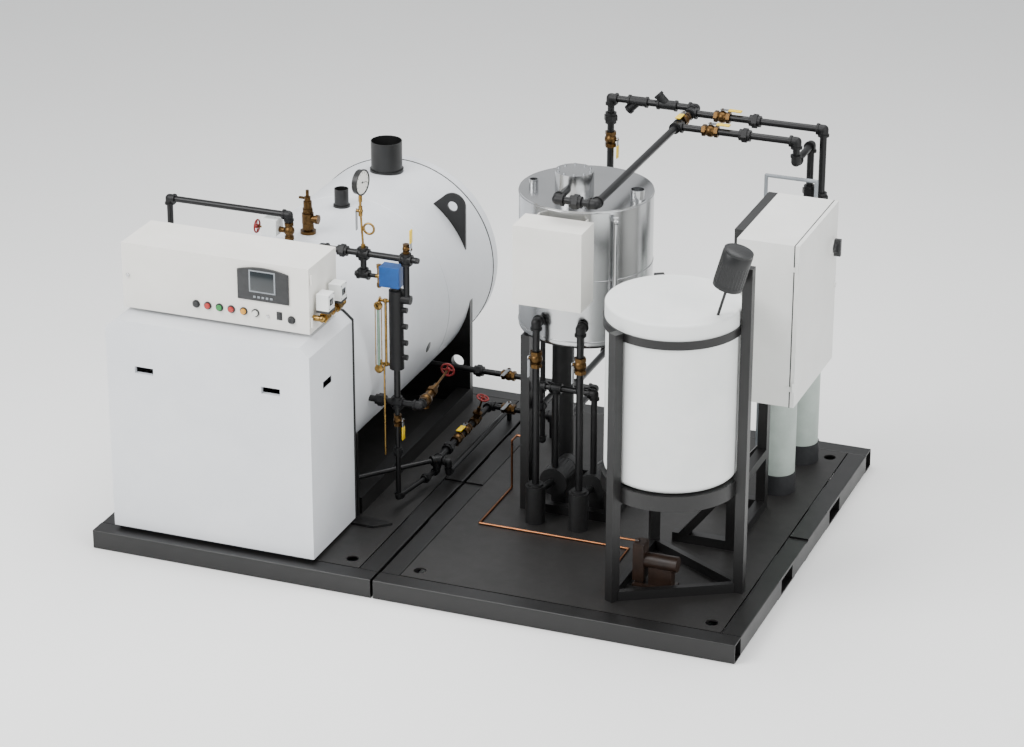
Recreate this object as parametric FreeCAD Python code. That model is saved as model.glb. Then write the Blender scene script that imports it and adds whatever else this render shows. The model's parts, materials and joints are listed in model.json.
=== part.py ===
import FreeCAD, Part
import math
import os

# A packaged boiler plant on two joined steel skids: a horizontal fire-tube steam boiler with
# its casing, controls and water column, a stainless feedwater tank on a stand, a chemical
# dosing tank, a twin water softener, an electrical cabinet on a rack and the pipework between.
# Millimetres, +Z up. Everything is laid out from the front left corner of the skid at floor
# level, +X along the long front edge and +Y to the back, and moved at the end so that the
# origin lies in the middle of the skid's footprint.

V = FreeCAD.Vector
X_AXIS = V(1, 0, 0)
Y_AXIS = V(0, 1, 0)
Z_AXIS = V(0, 0, 1)

# ---------------------------------------------------------------- skid
LEFT_SKID_LENGTH = 1556.0
RIGHT_SKID_LENGTH = 1897.0
SKID_GAP = 15.0
SKID_DEPTH = 2440.0
TUBE = 102.0
TUBE_WALL = 6.0
DECK_PLATE = 8.0
DECK_GROOVE = 4.0
JOIST = 50.0
POCKET_WIDTH = 190.0
POCKET_CENTRES = (870.0, 1731.0)
POCKET_PLATE = 8.0
DECK_HOLE_R = 32.0
DECK_HOLE_INSET_X = 178.0
DECK_HOLE_INSET_Y = 190.0

SKID_LENGTH = LEFT_SKID_LENGTH + SKID_GAP + RIGHT_SKID_LENGTH
SKIDS = ((0.0, LEFT_SKID_LENGTH), (LEFT_SKID_LENGTH + SKID_GAP, SKID_LENGTH))
DECK = TUBE

# ---------------------------------------------------------------- boiler
BOILER_X = 658.0
BOILER_Z = 807.0
BOILER_R = 562.0
LAGGING = 50.0
BOILER_FRONT = 597.0
BOILER_SEAM = 2540.0
SEAM_GAP = 3.0
SEAM_STEP = 6.0
REAR_HEAD = 92.0
FRONT_HEAD = 30.0

CASING_X = 96.0
CASING_WIDTH = 1124.0
CASING_Y = 67.0
CASING_BOTTOM = 122.0
CASING_TOP = 1274.0
CHAMFER_X = 55.0
CHAMFER_Z = 47.0
FRONT_PANEL = 25.0
WRAP_SHEET = 4.0
BACK_FRAME = 8.0
BACK_FRAME_EDGE = 8.0
HAND_SLOT = (104.0, 38.0)
FRONT_SLOTS_X = (304.0, 1005.0)
HAND_SLOT_Z = 1016.0
SIDE_SLOT_Y = 278.0

BOX_X = 141.0
BOX_WIDTH = 1028.0
BOX_Y = 192.0
BOX_DEPTH = 332.0
BOX_BOTTOM = 1297.0
BOX_TOP = 1644.0
DOOR_PANEL = 21.0
DOOR_SEAL = 0.5
SHEET = 3.0
HINGE_R = 6.0
HINGE_PIN = 3.0
PIN_PLAY = 0.3

SADDLE_Y = 2205.0
SADDLE_PLATE = 39.0
SADDLE_HALF = 556.0
SADDLE_HOLE_R = 37.0
RAIL_WIDTH = 76.0
RAIL_HEIGHT = 90.0

LUG_Y = 2222.0
LUG_PLATE = 16.0
LUG_EYE_OFFSET = (447.0, 451.0)
LUG_R = 76.0
LUG_EYE_R = 29.0
LUG_TIP_DROP = 246.0

STACK_Y = 2358.0
STACK_R = 87.0
STACK_RISE = 171.0
VENT_Y = 1740.0
VENT_R = 39.0
VENT_RISE = 100.0
NOZZLE_WALL = 4.0
NOZZLE_FLOOR = 11.0
SAFETY_Y = 1305.0
STEAM_Y = 1070.0
STEAM_BODY_RISE = 96.0
STEAM_PIPE_RISE = 183.0
STEAM_DROP_X = -30.0
STEAM_END_Z = 300.0

# ---------------------------------------------------------------- water column
COLUMN_Y = 820.0
STEAM_TAP_X = 960.0
COLUMN_TAP_RISE = 136.0
GAUGE_CROSS_X = 1188.0
COLUMN_X = 1366.0
COLUMN_TEE_X = 1424.0
VESSEL_R = 38.0
VESSEL_BOTTOM = 898.0
VESSEL_TOP = 1330.0
VESSEL_BOSS_Z = 1285.0
LOWER_TAP_Z = 706.0
GLASS_X = 1307.0
GAUGE_R = 68.0
GAUGE_Z = 1888.0
GAUGE_TURN = -6.0
BLOW_VALVE_X = 1490.0
VENT_VALVE_R = 11.0

# ---------------------------------------------------------------- feed and blowdown lines
PIPE_R = 16.7
BLOW_R = 13.4
OVERHEAD_R = 19.0
LOW_LINE_Z = 230.0
DRAIN_LINE_Z = 168.0
LOW_LINE_X = 1430.0
DRAIN_LINE_X = 1497.0
LOW_TEE_Y = 1190.0
FEED_Y = 1950.0
FEED_Z = 430.0
RISER_X = 1660.0

# ---------------------------------------------------------------- feedwater tank
TANK_X = 2214.0
TANK_Y = 1307.0
TANK_R = 343.0
TANK_WALL = 4.0
TANK_BOTTOM = 1082.0
TANK_TOP = 1828.0
TANK_EDGE = 25.0
DOME_R = 99.0
DOME_HEIGHT = 147.0
DOME_DY = -149.0
STAND_LEG = 48.0
STAND_SPREAD = 514.0
STAND_RAIL_HEIGHT = 48.0
HEADER_X = 2044.0
HEADER_Y = 1450.0
HEADER_R = 58.0
HEADER_FOOT_R = 38.0
SUCTION_Y = 932.0
SUCTION_X = (2087.0, 2325.0)
SUCTION_ELBOW_Z = 1215.0
SUCTION_VALVE_Z = 1017.0
POT_R = 52.0
POT_TOP = 309.0
PUMP_X = (2130.0, 2340.0)
PUMP_Y = 1110.0
PUMP_Z = 270.0
PUMP_R = 75.0
DISCHARGE_Z = 790.0
FEED_BOX = (364.0, 182.0, 417.0)
FEED_BOX_X = 2027.0
FEED_BOX_Y = 748.0
FEED_BOX_Z = 1382.0

# ---------------------------------------------------------------- chemical tank
CHEM_X = 2941.0
CHEM_Y = 558.0
CHEM_R = 332.0
CHEM_WALL = 6.0
CHEM_BOTTOM = 717.0
CHEM_LID_TOP = 1611.0
CHEM_LID = 80.0
CHEM_EDGE = 40.0
STRAP = 13.0
STRAP_HEIGHT = 43.0
CRADLE_HEIGHT = 80.0
CHEM_POST = 50.0
CHEM_BAR = 32.0
AGITATOR_TILT = 15.6

# ---------------------------------------------------------------- softener, rack and cabinet
RACK_X = 3105.0
RACK_BAR = 50.0
RACK_Y = (973.0, 1489.0)
CABINET_X = RACK_X + RACK_BAR
CABINET_DEPTH = 292.0
CABINET_Y = 857.0
CABINET_WIDTH = 683.0
CABINET_BOTTOM = 999.0
CABINET_TOP = 1850.0
CABINET_DOOR = 23.0
SOFTENER_SPOTS = ((3140.0, 1770.0), (3147.0, 2180.0))
SOFTENER_R = 89.0
SOFTENER_TOP = 1225.0
BOOT_WALL = 6.0
BOOT_HEIGHT = 110.0
SOFTENER_HEAD = (160.0, 180.0, 160.0)

# ---------------------------------------------------------------- overhead pipes
OVERHEAD_Z = 1902.0
OVERHEAD_X = 2402.0
BACK_RUN_Y = 2490.0
UPPER_RUN_Y = 2409.0
LOWER_RUN_Y = 2172.0
BACK_DROP_X = 1924.0
DOME_PIPE_X = 2200.0
DOME_PIPE_Y = 915.0
RIGHT_DROP_X = 3137.0
LEFT_DROP_X = 3060.0
LEFT_DROP_Y = 2450.0
OFFSET_DROP = 110.0

# ---------------------------------------------------------------- fittings, as shares of a pipe's radius
BODY = 1.38
BRANCH_BODY = 1.33
COLLAR = 1.62
REACH = 1.95
COLLAR_LENGTH = 0.62
UNION_HALF = 1.6
VALVE_HALF = 2.3
LEVER_LENGTH = 105.0
LEVER_WIDTH = 20.0
LEVER_PLATE = 4.0
LEVER_CLEAR = 6.0
STEM_R = 5.0
WHEEL_RIM = 5.0
GATE_STEM = 160.0
GATE_LEAN = 18.0
TAIL_OFFSET = 26.0

nodes = {}


def add(name, *shapes):
    """Put solids into a node; the solids of one node never touch each other."""
    nodes.setdefault(name, []).extend(shapes)


def box(low, high):
    """A block between two corners."""
    size = high - low
    return Part.makeBox(size.x, size.y, size.z, low)


def rod(start, end, radius):
    """A round bar from one point to another."""
    run = end - start
    return Part.makeCylinder(radius, run.Length, start, run)


def pipe_shell(start, end, outer, wall):
    """A round tube, open at both ends."""
    return rod(start, end, outer).cut(rod(start, end, outer - wall))


def fuse(shapes):
    """Join pieces into one solid."""
    first = shapes[0]
    if len(shapes) > 1:
        first = first.multiFuse(shapes[1:])
    return first.removeSplitter()


def prism(points, depth):
    """A straight body on a flat outline, along depth."""
    wire = Part.makePolygon(list(points) + [points[0]])
    return Part.Face(wire).extrude(depth)


def hexagon(centre, axis, across, length):
    """A hexagonal nut or plug, centred on a point."""
    axis = V(axis).normalize()
    side = axis.cross(Z_AXIS)
    if side.Length < 0.1:
        side = V(X_AXIS)
    side.normalize()
    other = axis.cross(side)
    base = centre - axis * (length / 2)
    corners = []
    for turn in range(6):
        angle = math.radians(60 * turn)
        corners.append(base + side * (across * math.cos(angle)) + other * (across * math.sin(angle)))
    return prism(corners, axis * length)


def hollow_tube(low, high, along):
    """A square structural tube with rounded long edges, open at its ends."""
    outer = box(low, high)
    edges = [edge for edge in outer.Edges if abs(edge.tangentAt(edge.FirstParameter).dot(along)) > 0.99]
    outer = outer.makeFillet(TUBE_WALL, edges)
    wall = (V(1, 1, 1) - along) * TUBE_WALL
    return outer.cut(box(low + wall - along, high - wall + along))


# ================================================================ pipework helpers


def arms_fitting(centre, arms, radius):
    """An elbow, tee or cross: a collared socket toward each pipe, and a ball where none runs through."""
    arms = [V(arm).normalize() for arm in arms]
    runs_through = any(arm.dot(arms[0]) < -0.99 for arm in arms)
    parts = [] if runs_through else [Part.makeSphere(radius * BODY, centre)]
    for arm in arms:
        mouth = centre + arm * (radius * REACH)
        is_branch = runs_through and abs(arm.dot(arms[0])) < 0.99
        parts.append(rod(centre, mouth, radius * (BRANCH_BODY if is_branch else BODY)))
        parts.append(rod(mouth - arm * (radius * COLLAR_LENGTH), mouth, radius * COLLAR))
    return fuse(parts)


def union_fitting(centre, along, radius):
    """A union: two collars and a big hexagonal nut between them."""
    along = V(along).normalize()
    half = along * (radius * UNION_HALF)
    nut = hexagon(centre, along, radius * 2.05, radius * 1.5)
    return fuse([rod(centre - half, centre + half, radius * COLLAR), nut])


def strainer_fitting(centre, along, leg, radius):
    """A Y strainer: a straight body with a capped leg at 45 degrees."""
    along = V(along).normalize()
    leg = V(leg).normalize()
    half = along * (radius * STRAINER_HALF)
    body = rod(centre - half, centre + half, radius * BODY)
    ends = []
    for sign in (-1, 1):
        mouth = centre + half * sign
        ends.append(rod(mouth - along * (sign * radius * COLLAR_LENGTH), mouth, radius * COLLAR))
    basket = rod(centre, centre + leg * (radius * 3.8), radius * 1.25)
    cap = rod(centre + leg * (radius * 3.3), centre + leg * (radius * 4.1), radius * 1.45)
    return fuse([body, basket, cap] + ends)


def ball_valve_body(centre, along, stem, radius):
    """A ball valve's body with hexagonal ends and the stem that its lever turns on."""
    along = V(along).normalize()
    stem = V(stem).normalize()
    half = radius * VALVE_HALF
    parts = [Part.makeSphere(radius * 1.75, centre)]
    parts.append(rod(centre - along * half, centre + along * half, radius * 1.35))
    for sign in (-1, 1):
        parts.append(hexagon(centre + along * (sign * half * 0.78), along, radius * 1.7, half * 0.44))
    top = radius * 1.75 + LEVER_CLEAR
    parts.append(rod(centre, centre + stem * (top - 0.4), STEM_R + 4))
    parts.append(rod(centre, centre + stem * (top + LEVER_PLATE + 4), STEM_R))
    return fuse(parts)


def gate_valve_body(centre, along, stem, radius):
    """A gate valve's body: hexagonal ends, a bonnet and a long stem that carries the wheel."""
    along = V(along).normalize()
    stem = V(stem).normalize()
    half = radius * VALVE_HALF
    parts = [Part.makeSphere(radius * 1.7, centre)]
    parts.append(rod(centre - along * half, centre + along * half, radius * 1.35))
    for sign in (-1, 1):
        parts.append(hexagon(centre + along * (sign * half * 0.78), along, radius * 1.7, half * 0.44))
    parts.append(rod(centre, centre + stem * (radius * 3.6), radius * 1.1))
    parts.append(hexagon(centre + stem * (radius * 3.0), stem, radius * 1.65, radius * 0.8))
    parts.append(rod(centre, centre + stem * (radius * 5.2), radius * 0.65))
    parts.append(rod(centre, centre + stem * GATE_STEM, STEM_R))
    return fuse(parts)


def ball_valve_lever(centre, stem, points_to, radius):
    """The flat lever of a ball valve: a hub round the stem and a grip that lies along the pipe."""
    stem = V(stem).normalize()
    points_to = V(points_to).normalize()
    across = stem.cross(points_to)
    foot = centre + stem * (radius * 1.75 + LEVER_CLEAR)
    hub = rod(foot, foot + stem * LEVER_PLATE, STEM_R + 8)
    corners = []
    for reach, side in ((0, -1), (LEVER_LENGTH, -1), (LEVER_LENGTH, 1), (0, 1)):
        corners.append(foot + points_to * reach + across * (side * LEVER_WIDTH / 2))
    bar = prism(corners, stem * LEVER_PLATE)
    bore = rod(foot - stem, foot + stem * (LEVER_PLATE + 1), STEM_R + PIN_PLAY)
    return fuse([hub, bar]).cut(bore)


def handwheel(centre, axis, radius, stem_radius):
    """A valve handwheel: a round rim, four spokes and a hub on the stem."""
    axis = V(axis).normalize()
    side = axis.cross(Z_AXIS)
    if side.Length < 0.1:
        side = V(X_AXIS)
    side.normalize()
    other = axis.cross(side)
    rim = Part.makeTorus(radius - WHEEL_RIM, WHEEL_RIM, centre, axis)
    parts = [rim, rod(centre - axis * 7, centre + axis * 7, stem_radius + 7)]
    for spoke in (side, other):
        parts.append(rod(centre - spoke * (radius - WHEEL_RIM), centre + spoke * (radius - WHEEL_RIM), 3.5))
    bore = rod(centre - axis * 9, centre + axis * 9, stem_radius + PIN_PLAY)
    return fuse(parts).cut(bore)


STRAINER_HALF = 2.9
FITTING_REACH = {"elbow": REACH, "tee": REACH, "union": UNION_HALF, "valve": VALVE_HALF,
                 "gate": VALVE_HALF, "strainer": STRAINER_HALF, "open": 0.0}


def pipe_line(radius, stations, trim=None):
    """Straight pipes between neighbouring stations of a line, each ending at a fitting's mouth.

    A station is (point, kind, extra): extra holds a tee's branch directions, a strainer's leg,
    or a ball valve's stem. The first and last pipes may be trimmed by a vessel.
    """
    points = [station[0] for station in stations]
    for index in range(len(stations) - 1):
        along = (points[index + 1] - points[index]).normalize()
        start = points[index] + along * (radius * FITTING_REACH[stations[index][1]])
        end = points[index + 1] - along * (radius * FITTING_REACH[stations[index + 1][1]])
        pipe = rod(start, end, radius)
        if trim is not None:
            pipe = pipe.cut(trim)
        add("pipe_runs", pipe)
    for index, station in enumerate(stations):
        point, kind = station[0], station[1]
        extra = list(station[2]) if len(station) > 2 else []
        arms = []
        if index > 0:
            arms.append(points[index - 1] - point)
        if index < len(stations) - 1:
            arms.append(points[index + 1] - point)
        if kind in ("elbow", "tee"):
            add("pipe_fittings", arms_fitting(point, arms + extra, radius))
        elif kind == "union":
            add("pipe_fittings", union_fitting(point, arms[-1], radius))
        elif kind == "strainer":
            add("pipe_fittings", strainer_fitting(point, arms[-1], extra[0], radius))
        elif kind == "valve":
            add("valve_bodies", ball_valve_body(point, arms[-1], extra[0], radius))
        elif kind == "gate":
            add("valve_bodies", gate_valve_body(point, arms[-1], extra[0], radius))


# ================================================================ vessels that pipes end on

boiler_solid = rod(V(BOILER_X, BOILER_FRONT, BOILER_Z), V(BOILER_X, BOILER_SEAM, BOILER_Z), BOILER_R)
tank_solid = rod(V(TANK_X, TANK_Y, TANK_BOTTOM), V(TANK_X, TANK_Y, TANK_TOP), TANK_R)
BOILER_CREST = BOILER_Z + BOILER_R


# ================================================================ skid


def joist_ranges():
    """The Y range of each joist: one in the middle and one on either side of each fork pocket."""
    ranges = [((SKID_DEPTH - JOIST) / 2, (SKID_DEPTH + JOIST) / 2)]
    for centre in POCKET_CENTRES:
        ranges.append((centre - POCKET_WIDTH / 2 - JOIST, centre - POCKET_WIDTH / 2))
        ranges.append((centre + POCKET_WIDTH / 2, centre + POCKET_WIDTH / 2 + JOIST))
    return sorted(ranges)


def bay_ranges():
    """The Y ranges between the long tubes and the joists, fork pockets left out, for the side tubes."""
    joists = joist_ranges()
    return ((TUBE, joists[0][0]), (joists[1][1], joists[2][0]), (joists[2][1], joists[3][0]),
            (joists[4][1], SKID_DEPTH - TUBE))


def build_skid():
    """Two skid frames of square tube with fork pockets, joists and a deck plate each."""
    under_deck = TUBE - DECK_PLATE
    for start, end in SKIDS:
        for y in (0.0, SKID_DEPTH - TUBE):
            add("skid_long_tubes", hollow_tube(V(start, y, 0), V(end, y + TUBE, TUBE), X_AXIS))
        for low, high in joist_ranges():
            add("skid_long_tubes", box(V(start, low, 0), V(end, high, under_deck)))
        middle = (start + end) / 2
        for low, high in bay_ranges():
            for x in (start, end - TUBE):
                add("skid_side_tubes", hollow_tube(V(x, low, 0), V(x + TUBE, high, TUBE), Y_AXIS))
            add("skid_side_tubes", box(V(middle - JOIST / 2, low, 0), V(middle + JOIST / 2, high, under_deck)))
        for centre in POCKET_CENTRES:
            low = centre - POCKET_WIDTH / 2
            high = centre + POCKET_WIDTH / 2
            add("fork_pocket_plates", box(V(start, low, 0), V(end, high, POCKET_PLATE)))
            roof = [box(V(start, low, under_deck - POCKET_PLATE), V(end, high, under_deck))]
            for x in (start, end - TUBE):
                roof.append(box(V(x, low - JOIST, under_deck), V(x + TUBE, high + JOIST, TUBE)))
            add("fork_pocket_plates", fuse(roof))
        inset = TUBE + DECK_GROOVE
        plate = box(V(start + inset, inset, under_deck), V(end - inset, SKID_DEPTH - inset, TUBE))
        for x in (start + DECK_HOLE_INSET_X, end - DECK_HOLE_INSET_X):
            for y in (DECK_HOLE_INSET_Y, SKID_DEPTH - DECK_HOLE_INSET_Y):
                plate = plate.cut(rod(V(x, y, 0), V(x, y, TUBE + 1), DECK_HOLE_R))
        add("deck_plates", plate)


# ================================================================ casing


def casing_outline(grow, y):
    """The casing's front outline: a rectangle with both top corners cut off."""
    low = CASING_X - grow
    high = CASING_X + CASING_WIDTH + grow
    top = CASING_TOP + grow
    return [V(low, y, CASING_BOTTOM), V(high, y, CASING_BOTTOM), V(high, y, top - CHAMFER_Z),
            V(high - CHAMFER_X, y, top), V(low + CHAMFER_X, y, top), V(low, y, top - CHAMFER_Z)]


def build_casing():
    """The boiler's front casing: a front panel, a folded wrap and a black frame at the back."""
    front = prism(casing_outline(0, CASING_Y), Y_AXIS * FRONT_PANEL)
    width, height = HAND_SLOT
    for x in FRONT_SLOTS_X:
        low = V(x - width / 2, CASING_Y - 1, HAND_SLOT_Z - height / 2)
        front = front.cut(box(low, low + V(width, FRONT_PANEL + 2, height)))
    add("casing_front", front)
    back = BOILER_FRONT - BACK_FRAME
    start = CASING_Y + FRONT_PANEL
    outer = prism(casing_outline(0, start), Y_AXIS * (back - start))
    inner = prism(casing_outline(-WRAP_SHEET, start - 1), Y_AXIS * (back - start + 2))
    below = box(V(CASING_X + WRAP_SHEET, start - 1, CASING_BOTTOM - 1),
                V(CASING_X + CASING_WIDTH - WRAP_SHEET, back + 1, CASING_BOTTOM + WRAP_SHEET))
    wrap = outer.cut(inner).cut(below)
    low = V(CASING_X - 1, SIDE_SLOT_Y - width / 2, HAND_SLOT_Z - height / 2)
    wrap = wrap.cut(box(low, low + V(CASING_WIDTH + 2, width, height)))
    add("casing_wrap", wrap)
    add("casing_back_frame", prism(casing_outline(BACK_FRAME_EDGE, back), Y_AXIS * BACK_FRAME))
    plinth_low = V(CASING_X + 20, CASING_Y + 20, DECK)
    plinth_high = V(CASING_X + CASING_WIDTH - 20, BOILER_FRONT, CASING_BOTTOM)
    add("boiler_supports", box(plinth_low, plinth_high))


# ================================================================ control box


def open_case(low, high, open_side):
    """A sheet-steel case, hollow and open on one side."""
    size = V(SHEET, SHEET, SHEET)
    hollow_low = low + size
    hollow_high = high - size
    if open_side.x > 0:
        hollow_high = V(high.x + 1, hollow_high.y, hollow_high.z)
    if open_side.y < 0:
        hollow_low = V(hollow_low.x, low.y - 1, hollow_low.z)
    return box(low, high).cut(box(hollow_low, hollow_high))


def hinge_pair(axis_x, axis_y, heights, leaf_fixed, leaf_moving):
    """Knuckles of a lift-off hinge: fixed halves with pins, and moving halves with bores."""
    fixed = []
    moving = []
    for z in heights:
        centre = V(axis_x, axis_y, z)
        fixed.append(fuse([rod(centre - Z_AXIS * 25, centre, HINGE_R), rod(centre, centre + Z_AXIS * 20, HINGE_PIN),
                           box(V(*leaf_fixed[0]) + Z_AXIS * (z - 25), V(*leaf_fixed[1]) + Z_AXIS * z)]))
        knuckle = rod(centre + Z_AXIS * PIN_PLAY, centre + Z_AXIS * 25, HINGE_R)
        leaf = box(V(*leaf_moving[0]) + Z_AXIS * (z + PIN_PLAY), V(*leaf_moving[1]) + Z_AXIS * (z + 25))
        moving.append(fuse([knuckle, leaf]).cut(rod(centre, centre + Z_AXIS * 26, HINGE_PIN + PIN_PLAY)))
    return fixed, moving


def build_control_box():
    """The control box on top of the casing, with its door, panel and gas valve train."""
    high_x = BOX_X + BOX_WIDTH
    body_y = BOX_Y + DOOR_PANEL + DOOR_SEAL
    case = open_case(V(BOX_X, body_y, BOX_BOTTOM), V(high_x, BOX_Y + BOX_DEPTH, BOX_TOP), V(0, -1, 0))
    hinge_x = high_x + HINGE_R + 1
    hinge_y = BOX_Y + DOOR_PANEL - HINGE_R - 1
    heights = (BOX_BOTTOM + 60, BOX_TOP - 60)
    fixed, moving = hinge_pair(hinge_x, hinge_y, heights,
                               ((high_x, hinge_y, 0), (high_x + HINGE_PIN, body_y + 20, 0)),
                               ((high_x - 1, hinge_y - HINGE_PIN, 0), (hinge_x, hinge_y, 0)))
    feet = []
    for x in (BOX_X + 60, high_x - 110):
        for y in (BOX_Y + 60, BOX_Y + BOX_DEPTH - 90):
            feet.append(box(V(x, y, CASING_TOP), V(x + 50, y + 50, BOX_BOTTOM)))
    add("control_box", fuse([case] + fixed + feet))
    panel = box(V(BOX_X, BOX_Y, BOX_BOTTOM), V(high_x, BOX_Y + DOOR_PANEL, BOX_TOP))
    add("control_door", fuse([panel] + moving))
    return hinge_x, hinge_y


def build_door_controls():
    """The screen's bezel, the row of push buttons, the switches and the lock on the door."""
    screen_low = V(BOX_X + 643, BOX_Y - 12, BOX_BOTTOM + 142)
    screen_high = V(BOX_X + 921, BOX_Y, BOX_BOTTOM + 320)
    add("door_controls", box(screen_low, screen_high))
    row_z = BOX_BOTTOM + 75
    for number in range(6):
        centre = V(BOX_X + 409 + number * 65.5, BOX_Y, row_z)
        add("door_controls", rod(centre, centre - Y_AXIS * 14, 14))
    add("door_controls", rod(V(BOX_X + 803, BOX_Y, row_z - 7), V(BOX_X + 803, BOX_Y - 8, row_z - 7), 7))
    rocker = V(BOX_X + 866, BOX_Y - 8, row_z)
    add("door_controls", box(rocker - V(14, 0, 20), rocker + V(14, 8, 20)))
    knob = V(BOX_X + 932, BOX_Y, row_z - 10)
    add("door_controls", rod(knob, knob - Y_AXIS * 18, 20))
    lock = V(BOX_X + 32, BOX_Y, BOX_BOTTOM + 176)
    add("door_controls", rod(lock, lock - Y_AXIS * 10, 10))


def build_gas_train():
    """The brass gas valve train beside the control box, with two white actuators."""
    x = BOX_X + BOX_WIDTH + 50
    z = BOX_BOTTOM + 75
    near = BOX_Y + 45
    far = BOX_Y + BOX_DEPTH - 40
    side = BOX_X + BOX_WIDTH
    parts = [rod(V(x, near, z), V(x, far, z), 14)]
    for y in (near, far):
        parts.append(Part.makeSphere(19, V(x, y, z)))
        parts.append(rod(V(x, y, z), V(side, y, z), 15))
    for y in (BOX_Y + 78, BOX_Y + 228):
        parts.append(hexagon(V(x, y, z), Y_AXIS, 27, 46))
        parts.append(rod(V(x, y, z), V(x, y, z + 32), 20))
        base = V(x - 30, y - 36, z + 32)
        add("valve_actuators", box(base, base + V(66, 72, 96)))
    parts.append(hexagon(V(x, (near + far) / 2, z), Y_AXIS, 22, 30))
    add("gas_train", fuse(parts))


# ================================================================ boiler


def build_boiler():
    """The lagged shell with its front and rear heads and the supports under it."""
    front = V(BOILER_X, BOILER_FRONT, BOILER_Z)
    seam = V(BOILER_X, BOILER_SEAM, BOILER_Z)
    add("boiler_shell", pipe_shell(front + Y_AXIS * FRONT_HEAD, seam, BOILER_R, LAGGING))
    add("boiler_heads", rod(front, front + Y_AXIS * FRONT_HEAD, BOILER_R))
    cover = rod(seam + Y_AXIS * SEAM_GAP, seam + Y_AXIS * (SEAM_GAP + REAR_HEAD), BOILER_R)
    rim = [edge for edge in cover.Edges if edge.CenterOfMass.y > BOILER_SEAM + REAR_HEAD - 5 and edge.Closed]
    cover = cover.makeFillet(REAR_HEAD / 3, rim)
    add("boiler_heads", fuse([cover, rod(seam, seam + Y_AXIS * SEAM_GAP, BOILER_R - SEAM_STEP)]))

    low = V(BOILER_X - SADDLE_HALF, SADDLE_Y, DECK)
    saddle = box(low, V(BOILER_X + SADDLE_HALF, SADDLE_Y + SADDLE_PLATE, BOILER_Z - 5)).cut(boiler_solid)
    for side in (-1, 1):
        hole = V(BOILER_X + side * (SADDLE_HALF - 76), SADDLE_Y - 1, 350)
        saddle = saddle.cut(rod(hole, hole + Y_AXIS * (SADDLE_PLATE + 2), SADDLE_HOLE_R))
    add("boiler_supports", saddle)
    for side in (-1, 1):
        middle = BOILER_X + side * (SADDLE_HALF - RAIL_WIDTH / 2)
        rail_low = V(middle - RAIL_WIDTH / 2, BOILER_FRONT + 90, DECK)
        rail_high = V(middle + RAIL_WIDTH / 2, SADDLE_Y - 1, DECK + RAIL_HEIGHT)
        add("boiler_supports", box(rail_low, rail_high))
    foot_y = BOILER_FRONT + 40
    front_saddle = box(V(BOILER_X - SADDLE_HALF, foot_y, DECK),
                       V(BOILER_X + SADDLE_HALF, foot_y + 20, BOILER_Z - 230)).cut(boiler_solid)
    add("boiler_supports", front_saddle)
    toe = CASING_X + CASING_WIDTH
    gusset = [V(toe - 6, foot_y - 90, DECK), V(toe + 120, foot_y - 90, DECK), V(toe + 195, foot_y - 20, DECK),
              V(toe + 150, foot_y - 1, DECK), V(toe - 6, foot_y - 1, DECK)]
    add("boiler_supports", prism(gusset, Z_AXIS * 12).cut(boiler_solid))


def build_lug():
    """The lifting lug, a plate with an eye that stands on the shell's right shoulder."""
    eye = V(BOILER_X + LUG_EYE_OFFSET[0], LUG_Y, BOILER_Z + LUG_EYE_OFFSET[1])
    web = prism([eye + V(LUG_R, 0, 0), eye + V(LUG_R, 0, -LUG_TIP_DROP), eye + V(-LUG_R * 1.8, 0, -60),
                 eye + V(-LUG_R * 1.5, 0, 2), eye + V(-LUG_R * 0.72, 0, LUG_R * 0.69)], Y_AXIS * LUG_PLATE)
    disc = rod(eye, eye + Y_AXIS * LUG_PLATE, LUG_R)
    hole = rod(eye - Y_AXIS, eye + Y_AXIS * (LUG_PLATE + 1), LUG_EYE_R)
    add("lifting_lug", fuse([web, disc]).cut(hole).cut(boiler_solid))


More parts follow.
